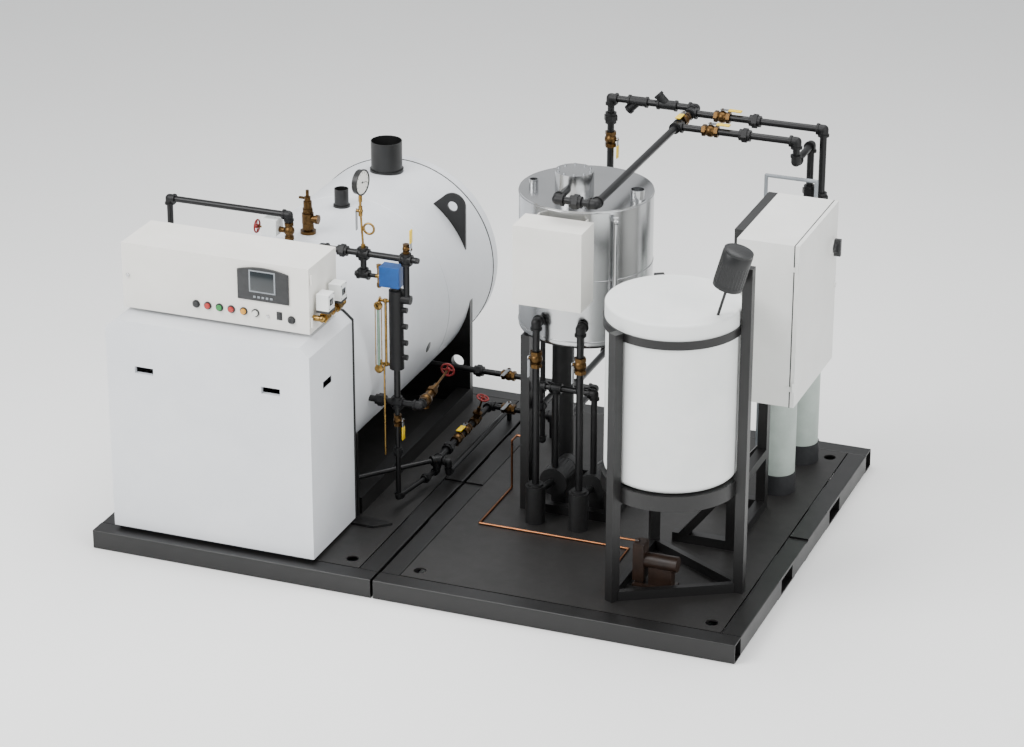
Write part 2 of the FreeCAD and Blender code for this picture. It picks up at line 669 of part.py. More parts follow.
def build_crest():
    """Flue stack, vent, safety valve and steam outlet on the shell's crest."""
    for y, radius, rise in ((STACK_Y, STACK_R, STACK_RISE), (VENT_Y, VENT_R, VENT_RISE)):
        foot = V(BOILER_X, y, BOILER_Z)
        top = V(BOILER_X, y, BOILER_CREST + rise)
        collar = rod(foot, V(BOILER_X, y, BOILER_CREST + 10), radius + 7)
        bore = rod(V(BOILER_X, y, BOILER_CREST + NOZZLE_FLOOR), top + Z_AXIS, radius - NOZZLE_WALL)
        add("stack_and_vent", fuse([rod(foot, top, radius), collar]).cut(bore).cut(boiler_solid))

    base = V(BOILER_X, SAFETY_Y, BOILER_CREST)
    parts = [rod(V(BOILER_X, SAFETY_Y, BOILER_Z), base + Z_AXIS * 16, 42), rod(base, base + Z_AXIS * 178, 23),
             hexagon(base + Z_AXIS * 40, Z_AXIS, 34, 28), rod(base + Z_AXIS * 56, base + Z_AXIS * 112, 32),
             hexagon(base + Z_AXIS * 128, Z_AXIS, 30, 20), rod(base + Z_AXIS * 178, base + Z_AXIS * 204, 17),
             rod(base + Z_AXIS * 204, base + Z_AXIS * 240, 9),
             rod(base + Z_AXIS * 82, base + V(52, 0, 82), 19), rod(base + V(46, 0, 82), base + V(62, 0, 82), 25),
             box(base + V(-48, -5, 188), base + V(10, 5, 200))]
    add("safety_valve", fuse(parts).cut(boiler_solid))

    body = V(BOILER_X, STEAM_Y, BOILER_CREST + STEAM_BODY_RISE)
    pipe_z = BOILER_CREST + STEAM_PIPE_RISE
    parts = [Part.makeSphere(29, body), rod(body - Z_AXIS * 45, body + Z_AXIS * 45, 20),
             hexagon(body - Z_AXIS * 38, Z_AXIS, 27, 16), hexagon(body + Z_AXIS * 38, Z_AXIS, 27, 16),
             rod(body, body - X_AXIS * 55, 15)]
    add("valve_bodies", fuse(parts))
    add("pipe_runs", rod(V(BOILER_X, STEAM_Y, BOILER_Z), body - Z_AXIS * 46, PIPE_R + 6).cut(boiler_solid))
    add("valve_actuators", box(body + V(-135, -45, -25), body + V(-55, 45, 60)))
    stem = body - X_AXIS * 135
    add("valve_bodies", rod(stem, stem - X_AXIS * 60, STEM_R))
    wheel = body - X_AXIS * 184
    add("steam_handwheel", handwheel(wheel, X_AXIS, 38, STEM_R))
    pipe_line(PIPE_R, [
        (body + Z_AXIS * 46, "open"),
        (V(BOILER_X, STEAM_Y, pipe_z), "elbow"),
        (V(STEAM_DROP_X, STEAM_Y, pipe_z), "elbow"),
        (V(STEAM_DROP_X, STEAM_Y, STEAM_END_Z), "open")])
    return wheel


# ================================================================ water column


def build_column():
    """The water column beside the boiler, with its taps, gauge and level control."""
    tap_z = BOILER_CREST + COLUMN_TAP_RISE
    cross = V(GAUGE_CROSS_X, COLUMN_Y, tap_z)
    tee = V(COLUMN_TEE_X, COLUMN_Y, tap_z)
    down = V(0, 0, -1)
    pipe_line(PIPE_R, [
        (V(STEAM_TAP_X, COLUMN_Y, BOILER_Z), "open"),
        (V(STEAM_TAP_X, COLUMN_Y, tap_z), "elbow"),
        (V(STEAM_TAP_X + 115, COLUMN_Y, tap_z), "union"),
        (cross, "tee", (Z_AXIS, down)),
        (tee, "tee", (Z_AXIS, down)),
        (tee + X_AXIS * 58, "open")], trim=boiler_solid)
    add("pipe_fittings", hexagon(tee + X_AXIS * 64, X_AXIS, 15, 12))
    reach = PIPE_R * REACH

    boss = rod(V(COLUMN_X, COLUMN_Y, VESSEL_BOSS_Z), V(COLUMN_TEE_X + 24, COLUMN_Y, VESSEL_BOSS_Z), 24)
    add("pipe_runs", rod(tee - Z_AXIS * reach, V(COLUMN_TEE_X, COLUMN_Y, VESSEL_BOSS_Z), PIPE_R).cut(boss))
    parts = [rod(V(COLUMN_X, COLUMN_Y, VESSEL_BOTTOM), V(COLUMN_X, COLUMN_Y, VESSEL_TOP), VESSEL_R), boss]
    for z in (VESSEL_BOSS_Z - 60, VESSEL_BOSS_Z - 150, VESSEL_BOSS_Z - 240, VESSEL_BOSS_Z - 320):
        plug = V(COLUMN_X, COLUMN_Y, z)
        parts.append(rod(plug, plug + V(VESSEL_R + 22, 0, 0), 15))
    parts.append(rod(V(COLUMN_X, COLUMN_Y, VESSEL_TOP), V(COLUMN_X, COLUMN_Y, VESSEL_TOP + 22), 26))
    add("level_vessel", fuse(parts))
    low = V(COLUMN_X - 77, COLUMN_Y - 38, VESSEL_TOP + 22)
    add("level_control", box(low, low + V(108, 76, 108)))

    relief_x = COLUMN_X - 93
    low_tee = V(GAUGE_CROSS_X, COLUMN_Y, tap_z - 114)
    pipe_line(PIPE_R, [
        (cross - Z_AXIS * reach, "open"),
        (low_tee, "tee", (V(-1, 0, 0), X_AXIS))])
    add("pipe_fittings", hexagon(low_tee - X_AXIS * (reach + 7), X_AXIS, 15, 14))
    relief = V(relief_x, COLUMN_Y, low_tee.z)
    add("pipe_runs", rod(low_tee + X_AXIS * reach, relief - X_AXIS * 15, 11))
    add("brass_trim", fuse([rod(relief - Z_AXIS * 60, relief + Z_AXIS * 66, 10), Part.makeSphere(15, relief),
                            rod(relief - X_AXIS * 15, relief, 11), hexagon(relief + Z_AXIS * 56, Z_AXIS, 15, 18),
                            hexagon(relief - Z_AXIS * 46, Z_AXIS, 14, 16)]))

    lower_tee = V(COLUMN_X, COLUMN_Y, LOWER_TAP_Z)
    pipe_line(PIPE_R, [
        (V(BOILER_X, COLUMN_Y, LOWER_TAP_Z), "open"),
        (lower_tee - X_AXIS * 92, "union"),
        (lower_tee, "tee", (Z_AXIS, down)),
        (V(BLOW_VALVE_X, COLUMN_Y, LOWER_TAP_Z), "elbow"),
        (V(BLOW_VALVE_X, COLUMN_Y + 40, LOWER_TAP_Z), "open")], trim=boiler_solid)
    add("pipe_runs", rod(lower_tee + Z_AXIS * reach, V(COLUMN_X, COLUMN_Y, VESSEL_BOTTOM), PIPE_R))
    return cross, tee, lower_tee


def build_blow_valve():
    """The bronze globe valve beside the column's lower tap, its bonnet pointing backwards."""
    mouth = V(BLOW_VALVE_X, COLUMN_Y + 40, LOWER_TAP_Z)
    lean = V(0, 0.988, 0.155)
    body = [rod(mouth, mouth + Y_AXIS * 70, 24), Part.makeSphere(34, mouth + Y_AXIS * 42),
            hexagon(mouth + Y_AXIS * 9, Y_AXIS, 30, 18)]
    middle = mouth + Y_AXIS * 42
    body.append(rod(middle, middle + lean * 110, 22))
    body.append(hexagon(middle + lean * 80, lean, 31, 26))
    body.append(rod(middle + lean * 110, middle + lean * 150, 14))
    body.append(rod(middle + lean * 150, middle + lean * 318, 6))
    body.append(hexagon(middle - Z_AXIS * 38, Z_AXIS, 20, 14))
    add("valve_bodies", fuse(body))
    wheel = middle + lean * 306
    add("blow_handwheel", handwheel(wheel, lean, 40, 6))
    return wheel, lean


def build_gauge(cross):
    """The brass siphon, its cock and the pressure gauge above the cross."""
    foot = cross + Z_AXIS * (PIPE_R * REACH)
    cock = V(cross.x - 12, cross.y, GAUGE_Z - 156)
    loop_centre = foot + V(33, 0, 105)
    loop = Part.makeTorus(28, 6, loop_centre, Y_AXIS)
    stem = rod(foot + Z_AXIS * 4, cock, 6)
    top = V(cock.x, cock.y, GAUGE_Z - GAUGE_R)
    body = [stem, loop, hexagon(foot + Z_AXIS * 8, Z_AXIS, 13, 16), rod(cock - Z_AXIS * 26, cock + Z_AXIS * 26, 11),
            Part.makeSphere(14, cock), rod(cock, top, 7), hexagon(top - Z_AXIS * 22, Z_AXIS, 11, 30),
            rod(cock, cock - X_AXIS * (14 * 1.75 * 0.57 + LEVER_CLEAR - 0.4), STEM_R + 3),
            rod(cock, cock - X_AXIS * (14 * 1.75 * 0.57 + LEVER_CLEAR + LEVER_PLATE + 4), STEM_R)]
    add("brass_trim", fuse(body))
    add("gauge_cock_lever", ball_valve_lever(cock, V(-1, 0, 0), V(0, 0, -1), 14 * 0.57))
    turn = math.radians(GAUGE_TURN)
    face = V(math.cos(turn), math.sin(turn), 0)
    centre = V(cock.x, cock.y, GAUGE_Z)
    add("pressure_gauge", rod(centre - face * 22, centre + face * 22, GAUGE_R))
    return cock


def build_column_trim(tee, lower_tee):
    """Vent and drain ball valves, the gauge glass and the drain below the column."""
    vent = tee + Z_AXIS * (PIPE_R * REACH + VENT_VALVE_R * VALVE_HALF)
    add("valve_bodies", ball_valve_body(vent, Z_AXIS, X_AXIS, VENT_VALVE_R))
    add("column_vent_lever", ball_valve_lever(vent, X_AXIS, Z_AXIS, VENT_VALVE_R))
    drain = V(COLUMN_X, COLUMN_Y, lower_tee.z - 100)
    start = lower_tee - Z_AXIS * (PIPE_R * REACH)
    elbow = V(COLUMN_X, COLUMN_Y, DRAIN_LINE_Z)
    corner = V(LOW_LINE_X, LOW_TEE_Y, DRAIN_LINE_Z)
    pipe_line(BLOW_R, [
        (start, "open"),
        (drain, "valve", (X_AXIS,)),
        (V(COLUMN_X, COLUMN_Y, drain.z - 175), "union"),
        (elbow, "elbow"),
        (corner - (corner - elbow).normalize() * 110, "union"),
        (corner, "elbow"),
        (V(LOW_LINE_X, LOW_TEE_Y, LOW_LINE_Z - PIPE_R * REACH), "open")])
    add("column_drain_lever", ball_valve_lever(drain, X_AXIS, V(0, 0, -1), BLOW_R))

    glass_top = VESSEL_TOP - 68
    glass_bottom = VESSEL_BOTTOM + 14
    wall_x = COLUMN_X - VESSEL_R
    parts = []
    for z in (glass_top, glass_bottom):
        parts.append(rod(V(wall_x, COLUMN_Y, z), V(GLASS_X - 30, COLUMN_Y, z), 8))
        parts.append(Part.makeSphere(14, V(GLASS_X, COLUMN_Y, z)))
        parts.append(rod(V(GLASS_X - 34, COLUMN_Y, z), V(GLASS_X - 30, COLUMN_Y, z), 19))
    parts.append(rod(V(GLASS_X, COLUMN_Y, glass_bottom), V(GLASS_X, COLUMN_Y, glass_top), 7))
    low_cock = V(GLASS_X, COLUMN_Y, glass_bottom)
    bend = low_cock - Y_AXIS * TAIL_OFFSET
    parts.append(rod(low_cock, bend, 5))
    parts.append(Part.makeSphere(7, bend))
    parts.append(rod(bend, bend - Z_AXIS * 500, 5))
    add("brass_trim", fuse(parts).cut(rod(V(COLUMN_X, COLUMN_Y, VESSEL_BOTTOM - 1),
                                          V(COLUMN_X, COLUMN_Y, VESSEL_TOP), VESSEL_R)))
    return vent, drain


def build_low_lines():
    """The feed line along the deck, its valves, the drain beside it and the bottom blowdown."""
    tee = V(LOW_LINE_X, LOW_TEE_Y, LOW_LINE_Z)
    blow_corner = V(BOILER_X + 402, LOW_TEE_Y - 430, LOW_LINE_Z)
    side = V(DRAIN_LINE_X, LOW_TEE_Y, LOW_LINE_Z)
    ball = V(LOW_LINE_X, 1600, LOW_LINE_Z)
    gate = V(LOW_LINE_X, 1735, LOW_LINE_Z)
    check = V(LOW_LINE_X, 1480, LOW_LINE_Z)
    gate_stem = V(math.sin(math.radians(GATE_LEAN)), 0, math.cos(math.radians(GATE_LEAN)))
    down = V(0, 0, -1)
    to_boiler = blow_corner - tee
    riser = V(RISER_X, FEED_Y, LOW_LINE_Z)
    low_valve = V((LOW_LINE_X + RISER_X) / 2, FEED_Y, LOW_LINE_Z)
    pipe_line(PIPE_R, [
        (tee, "tee", (down, X_AXIS, to_boiler)),
        (V(LOW_LINE_X, 1350, LOW_LINE_Z), "union"),
        (check, "valve", (down,)),
        (ball, "valve", (Z_AXIS,)),
        (gate, "gate", (gate_stem,)),
        (V(LOW_LINE_X, FEED_Y, LOW_LINE_Z), "elbow"),
        (low_valve, "valve", (Z_AXIS,)),
        (riser, "tee", (Z_AXIS,)),
        (V(RISER_X + 140, FEED_Y, LOW_LINE_Z), "elbow"),
        (V(RISER_X + 140, FEED_Y, DECK), "open")])
    add("feed_line_lever", ball_valve_lever(ball, Z_AXIS, V(0, -1, 0), PIPE_R))
    add("low_feed_lever", ball_valve_lever(low_valve, Z_AXIS, V(0, -1, 0), PIPE_R))
    wheel = gate + gate_stem * (GATE_STEM - 10)
    add("feed_handwheel", handwheel(wheel, gate_stem, 36, STEM_R))

    short = PIPE_R * REACH
    pipe_line(BLOW_R, [
        (tee + V(to_boiler).normalize() * short, "open"),
        (blow_corner, "elbow"),
        (V(blow_corner.x, blow_corner.y, BOILER_Z), "open")], trim=boiler_solid)
    drop = V(DRAIN_LINE_X, LOW_TEE_Y, DRAIN_LINE_Z)
    pipe_line(BLOW_R, [
        (tee + X_AXIS * short, "open"),
        (side, "elbow"),
        (drop, "elbow"),
        (V(DRAIN_LINE_X, FEED_Y + 130, DRAIN_LINE_Z), "elbow"),
        (V(DRAIN_LINE_X, FEED_Y + 130, DECK), "open")])
    return ball, low_valve, wheel


def build_feed_line():
    """The upper feed line from the header to the boiler's side, and the riser between lines."""
    header_side = V(HEADER_X, HEADER_Y, FEED_Z)
    header = rod(V(HEADER_X, HEADER_Y, DECK), V(HEADER_X, HEADER_Y, TANK_BOTTOM), HEADER_R)
    riser = V(RISER_X, FEED_Y, FEED_Z)
    down = V(0, 0, -1)
    high_valve = V((LOW_LINE_X + RISER_X) / 2, FEED_Y, FEED_Z)
    pipe_line(PIPE_R, [
        (V(BOILER_X, FEED_Y, FEED_Z), "open"),
        (V(LOW_LINE_X - 60, FEED_Y, FEED_Z), "union"),
        (high_valve, "valve", (Z_AXIS,)),
        (riser, "tee", (down,)),
        (V(BACK_DROP_X, FEED_Y, FEED_Z), "tee", (Y_AXIS,)),
        (V(HEADER_X, FEED_Y, FEED_Z), "elbow"),
        (header_side, "open")], trim=boiler_solid.fuse(header))
    add("high_feed_lever", ball_valve_lever(high_valve, Z_AXIS, V(0, -1, 0), PIPE_R))
    short = Z_AXIS * (PIPE_R * REACH)
    low = V(RISER_X, FEED_Y, LOW_LINE_Z)
    pipe_line(PIPE_R, [(low + short, "open"), ((low + riser) / 2, "union"), (riser - short, "open")])
    return high_valve


# ================================================================ feedwater tank


def build_feed_tank():
    """The stainless feedwater tank with its dome, stubs and level pipe, on four legs."""
    outer = rod(V(TANK_X, TANK_Y, TANK_BOTTOM + TANK_EDGE), V(TANK_X, TANK_Y, TANK_TOP - TANK_WALL), TANK_R)
    inner = rod(V(TANK_X, TANK_Y, TANK_BOTTOM), V(TANK_X, TANK_Y, TANK_TOP), TANK_R - TANK_WALL)
    add("feed_tank_shell", outer.cut(inner))
    top = [rod(V(TANK_X, TANK_Y, TANK_TOP - TANK_WALL), V(TANK_X, TANK_Y, TANK_TOP), TANK_R)]
    dome = V(TANK_X - 11, TANK_Y + DOME_DY, TANK_TOP - 1)
    top.append(rod(dome, dome + Z_AXIS * (DOME_HEIGHT + 1), DOME_R))
    for dx, dy, radius, rise in ((-259, -73, 24, 42), (292, -55, 38, 54)):
        foot = V(TANK_X + dx, TANK_Y + dy, TANK_TOP - 1)
        wall = rod(foot, foot + Z_AXIS * rise, radius)
        top.append(wall.cut(rod(foot, foot + Z_AXIS * (rise + 1), radius - NOZZLE_WALL)))
    add("feed_tank_ends", fuse(top))
    dish = rod(V(TANK_X, TANK_Y, TANK_BOTTOM), V(TANK_X, TANK_Y, TANK_BOTTOM + TANK_EDGE), TANK_R)
    rim = [edge for edge in dish.Edges if edge.Closed and edge.CenterOfMass.z < TANK_BOTTOM + 1]
    add("feed_tank_ends", dish.makeFillet(TANK_EDGE - 1, rim))

    level = V(TANK_X + 256, TANK_Y - 272, 0)
    parts = [rod(level + Z_AXIS * (TANK_TOP - 500), level + Z_AXIS * (TANK_TOP - 30), 13)]
    for z in (TANK_TOP - 480, TANK_TOP - 50):
        parts.append(rod(level + Z_AXIS * z, V(TANK_X, TANK_Y, z), 12).cut(tank_solid))
        parts.append(Part.makeSphere(18, level + Z_AXIS * z))
    add("feed_tank_ends", fuse(parts))

    half = STAND_SPREAD / 2
    for sx in (-1, 1):
        for sy in (-1, 1):
            corner = V(TANK_X + sx * (half - STAND_LEG / 2), TANK_Y + sy * (half - STAND_LEG / 2), 0)
            low = corner + V(-STAND_LEG / 2, -STAND_LEG / 2, DECK)
            add("stand_posts", box(low, corner + V(STAND_LEG / 2, STAND_LEG / 2, TANK_BOTTOM)))
    reach = half - STAND_LEG
    for side in (-1, 1):
        y = TANK_Y + side * (half - STAND_LEG / 2)
        add("stand_rails", box(V(TANK_X - reach, y - STAND_LEG / 2, DECK),
                                    V(TANK_X + reach, y + STAND_LEG / 2, DECK + STAND_RAIL_HEIGHT)))
        x = TANK_X + side * (half - STAND_LEG / 2)
        add("stand_rails", box(V(x - STAND_LEG / 2, TANK_Y - reach, DECK),
                                    V(x + STAND_LEG / 2, TANK_Y + reach, DECK + STAND_RAIL_HEIGHT)))


def build_feed_box():
    """The feedwater control box on two brackets in front of the tank."""
    low = V(FEED_BOX_X, FEED_BOX_Y, FEED_BOX_Z)
    parts = [box(low, low + V(*FEED_BOX))]
    for x in (FEED_BOX_X + 50, FEED_BOX_X + FEED_BOX[0] - 56):
        for z in (FEED_BOX_Z + 40, FEED_BOX_Z + FEED_BOX[2] - 60):
            arm = V(x, FEED_BOX_Y + FEED_BOX[1], z)
            parts.append(box(arm, V(x + 6, TANK_Y, z + 50)).cut(tank_solid))
    add("feed_control_box", fuse(parts))


def build_suction_side():
    """Suction drops with strainer pots, two feed pumps and the discharge into the header."""
    header_base = V(HEADER_X, HEADER_Y, DECK + STAND_RAIL_HEIGHT)
    header = rod(header_base, V(HEADER_X, HEADER_Y, TANK_BOTTOM), HEADER_R)
    header_foot = rod(V(HEADER_X, HEADER_Y, DECK), header_base, HEADER_FOOT_R)
    add("feed_pumps", fuse([header, header_foot]))
    levers = []
    for x, pump_x in zip(SUCTION_X, PUMP_X):
        valve = V(x, SUCTION_Y, SUCTION_VALVE_Z)
        pot = V(x, SUCTION_Y, DECK)
        pipe_line(OVERHEAD_R, [
            (V(x, TANK_Y, SUCTION_ELBOW_Z), "open"),
            (V(x, SUCTION_Y, SUCTION_ELBOW_Z), "elbow"),
            (valve, "valve", (V(-1, 0, 0),)),
            (V(x, SUCTION_Y, POT_TOP + 12), "open")], trim=tank_solid)
        levers.append(valve)
        pot_parts = [rod(pot, V(x, SUCTION_Y, POT_TOP), POT_R), rod(V(x, SUCTION_Y, POT_TOP),
                     V(x, SUCTION_Y, POT_TOP + 12), POT_R - 12)]
        link = rod(V(x, SUCTION_Y, PUMP_Z), V(pump_x, PUMP_Y, PUMP_Z), 19)
        volute = rod(V(pump_x, PUMP_Y - 35, PUMP_Z), V(pump_x, PUMP_Y + 35, PUMP_Z), PUMP_R)
        motor = rod(V(pump_x, PUMP_Y + 35, PUMP_Z), V(pump_x, PUMP_Y + 215, PUMP_Z), 58)
        foot = box(V(pump_x - 40, PUMP_Y + 50, DECK), V(pump_x + 40, PUMP_Y + 200, PUMP_Z))
        add("feed_pumps", fuse(pot_parts + [link, volute, motor, foot]))
    volutes = []
    for pump_x in PUMP_X:
        volutes.append(rod(V(pump_x, PUMP_Y - 35, PUMP_Z), V(pump_x, PUMP_Y + 35, PUMP_Z), PUMP_R))
    near = V(PUMP_X[0], PUMP_Y, DISCHARGE_Z)
    down = V(0, 0, -1)
    pipe_line(PIPE_R, [
        (V(PUMP_X[1], PUMP_Y, PUMP_Z), "open"),
        (V(PUMP_X[1], PUMP_Y, DISCHARGE_Z), "elbow"),
        (near, "tee", (down,)),
        (V(HEADER_X, PUMP_Y, DISCHARGE_Z), "elbow"),
        (V(HEADER_X, PUMP_Y, DISCHARGE_Z - 120), "elbow"),
        (V(HEADER_X, HEADER_Y, DISCHARGE_Z - 120), "open")], trim=header.fuse(volutes[1]))
    foot = V(PUMP_X[0], PUMP_Y, PUMP_Z)
    add("pipe_runs", rod(foot, near - Z_AXIS * (PIPE_R * REACH), PIPE_R).cut(volutes[0]))
    return levers


def build_injection():
    """The injection pipe under the tank and the copper tube that feeds it from the dosing pump."""
    top = V(TANK_X - 239, TANK_Y + 23, TANK_BOTTOM)
    corner = V(top.x, top.y, 379)
    joint = corner - X_AXIS * 85
    pipe_line(BLOW_R, [(top, "open"), (corner, "elbow"), (joint, "open")])
    radius = 6.0
    floor = DECK + radius
    feed_x = CHEM_X - 293
    start = V(CHEM_X - 146, CHEM_Y - 88, 330)
    route = [start, V(feed_x, start.y, 330), V(feed_x, start.y, floor), V(feed_x, SUCTION_Y - 137, floor),
             V(joint.x - 60, SUCTION_Y - 137, floor), V(joint.x - 60, joint.y - 70, floor),
             V(joint.x - 60, joint.y - 70, joint.z), V(joint.x - 60, joint.y, joint.z), joint]
    parts = []
    for one, two in zip(route[:-1], route[1:]):
        parts.append(rod(one, two, radius))
    for point in route[1:-1]:
        parts.append(Part.makeSphere(radius, point))
    add("copper_tube", fuse(parts))
    return start


# ================================================================ chemical tank


def chem_posts():
    """Where the three posts stand, evenly round the tank."""
    spread = CHEM_R + STRAP + CHEM_POST / 2
    spots = []
    for degrees in (240, 0, 120):
        angle = math.radians(degrees)
        spots.append(V(CHEM_X + spread * math.cos(angle), CHEM_Y + spread * math.sin(angle), 0))
    return spots


def build_chem_tank(tube_start):
    """The white dosing tank with its lid, stand, agitator and dosing pump."""
    centre = V(CHEM_X, CHEM_Y, 0)
    lid_bottom = CHEM_LID_TOP - CHEM_LID
    body = rod(centre + Z_AXIS * CHEM_BOTTOM, centre + Z_AXIS * lid_bottom, CHEM_R)
    rim = [edge for edge in body.Edges if edge.Closed and edge.CenterOfMass.z < CHEM_BOTTOM + 1]
    body = body.makeFillet(CHEM_EDGE, rim)
    hollow = rod(centre + Z_AXIS * (CHEM_BOTTOM + CHEM_WALL), centre + Z_AXIS * (lid_bottom + 1), CHEM_R - CHEM_WALL)
    rim = [edge for edge in hollow.Edges if edge.Closed and edge.CenterOfMass.z < CHEM_BOTTOM + CHEM_WALL + 1]
    add("chem_tank", body.cut(hollow.makeFillet(CHEM_EDGE, rim)))
    lid = rod(centre + Z_AXIS * lid_bottom, centre + Z_AXIS * CHEM_LID_TOP, CHEM_R + 5)
    rim = [edge for edge in lid.Edges if edge.Closed and edge.CenterOfMass.z > CHEM_LID_TOP - 1]
    add("chem_tank_lid", lid.makeFillet(14, rim))

    strap_top = lid_bottom
    strap = pipe_shell(centre + Z_AXIS * (strap_top - STRAP_HEIGHT), centre + Z_AXIS * strap_top,
                       CHEM_R + STRAP, STRAP)
    cradle = rod(centre + Z_AXIS * (CHEM_BOTTOM - CRADLE_HEIGHT), centre + Z_AXIS * CHEM_BOTTOM, CHEM_R + STRAP)
    add("chem_stand_rails", strap, cradle)
    spots = chem_posts()
    tops = (strap_top, 1830.0, 1596.0)
    posts = []
    for spot, top in zip(spots, tops):
        low = spot + V(-CHEM_POST / 2, -CHEM_POST / 2, DECK)
        post = box(low, low + V(CHEM_POST, CHEM_POST, top - DECK))
        post.rotate(spot, Z_AXIS, math.degrees(math.atan2(spot.y - CHEM_Y, spot.x - CHEM_X)))
        posts.append(post)
        add("stand_posts", post)
    for first, second in ((0, 1), (1, 2), (2, 0)):
        run = spots[second] - spots[first]
        start_gap = V(run).normalize() * (CHEM_BAR / 2 / math.tan(math.radians(30)) + 0.1)
        start = spots[first] + Z_AXIS * DECK + start_gap
        run = run - start_gap * 2
        side = V(-run.y, run.x, 0).normalize() * (CHEM_BAR / 2)
        bar = prism([start - side, start - side + run, start + side + run, start + side], Z_AXIS * CHEM_POST)
        bar = bar.cut(posts[first]).cut(posts[second])
        add("chem_stand_rails", bar)

    tilt = math.radians(AGITATOR_TILT)
    lean = V(math.sin(tilt), 0, math.cos(tilt))
    entry = V(CHEM_X + 255, CHEM_Y - 110, CHEM_LID_TOP)
    motor_foot = entry + lean * 158
    parts = [rod(entry - lean * 20, motor_foot, 7), rod(motor_foot, motor_foot + lean * 196, 73),
             rod(motor_foot - lean * 10, motor_foot, 40)]
    post = spots[1]
    bracket_z = motor_foot.z + 60
    parts.append(box(V(post.x - 25, motor_foot.y, bracket_z), V(post.x + 5, post.y - CHEM_POST / 2, bracket_z + 50)))
    parts.append(rod(entry - lean * 20, entry - lean * 420, 7))
    lid_hole = rod(entry - lean * (CHEM_LID * 1.3), entry + lean * 60, 7.5)
    nodes["chem_tank_lid"] = [nodes["chem_tank_lid"][0].cut(lid_hole)]
    add("agitator", fuse(parts))

    head = tube_start
    base = V(head.x, head.y, DECK)
    parts = [box(base + V(0, -42, 30), base + V(56, 42, 228)), rod(head, head + X_AXIS * 20, 12),
             rod(base + V(56, 0, 133), base + V(225, 0, 133), 40), box(base + V(0, -48, 0), base + V(215, 48, 12)),
             box(base + V(80, -30, 12), base + V(200, 30, 110)), box(base + V(10, -30, 12), base + V(46, 30, 40))]
    add("dosing_pump", fuse(parts))


# ================================================================ softener, rack and cabinet


def build_softener():
    """Two resin tanks in rubber boots, each with its control head."""
    width, depth, height = SOFTENER_HEAD
    for x, y in SOFTENER_SPOTS:
        foot = V(x, y, DECK + BOOT_WALL)
        body = rod(foot, V(x, y, SOFTENER_TOP), SOFTENER_R)
        rims = [edge for edge in body.Edges if edge.Closed]
        add("softener_tanks", body.makeFillet(SOFTENER_R * 0.45, rims))
        boot = rod(V(x, y, DECK), V(x, y, DECK + BOOT_HEIGHT), SOFTENER_R + BOOT_WALL)
        add("softener_heads_and_boots", boot.cut(rod(foot, V(x, y, SOFTENER_TOP), SOFTENER_R)))
        low = V(RIGHT_DROP_X + 43 - width, y - 60, SOFTENER_TOP + 20)
        neck = rod(V(x, y, SOFTENER_TOP), V(x, y, SOFTENER_TOP + 20), 38)
        add("softener_heads_and_boots", fuse([neck, box(low, low + V(width, depth, height))]))
    first, second = SOFTENER_SPOTS
    z = SOFTENER_TOP + 20 + height / 2
    add("pipe_runs", rod(V(first[0], first[1] - 60 + depth, z), V(first[0], second[1] - 60, z), PIPE_R))

    tube = 10.0
    head_top = V(second[0] + 20, second[1] + 20, SOFTENER_TOP + 20 + height)
    high = V(head_top.x, head_top.y, 1687)
    left = V(2894, head_top.y, 1687)
    parts = [rod(head_top, high, tube), rod(high, left, tube), rod(left, V(left.x, left.y, DECK), tube),
             Part.makeSphere(tube, high), Part.makeSphere(tube, left)]
    add("drain_tube", fuse(parts))


def build_rack():
    """The rack of square bar behind the cabinet, with braced feet."""
    high = RACK_X + RACK_BAR
    legs = []
    for y in RACK_Y:
        leg = box(V(RACK_X, y, DECK), V(high, y + RACK_BAR, CABINET_TOP))
        legs.append(leg)
        add("stand_posts", leg)
    low_y = RACK_Y[0] + RACK_BAR
    for z, depth in ((DECK, RACK_BAR), (400.0, RACK_BAR), (CABINET_TOP - RACK_BAR, RACK_BAR)):
        add("stand_rails", box(V(RACK_X, low_y, z), V(high, RACK_Y[1], z + depth)))
    foot_x = RACK_X - 285
    for leg, y in zip(legs, RACK_Y):
        bar = box(V(foot_x, y, DECK), V(RACK_X, y + RACK_BAR, DECK + RACK_BAR))
        start = V(foot_x + 15, y, DECK + RACK_BAR / 2)
        brace = prism([start, start + X_AXIS * 55, V(RACK_X + 20, y, 430), V(RACK_X + 20, y, 490)],
                      Y_AXIS * RACK_BAR)
        add("stand_rails", fuse([bar, brace]).cut(leg))


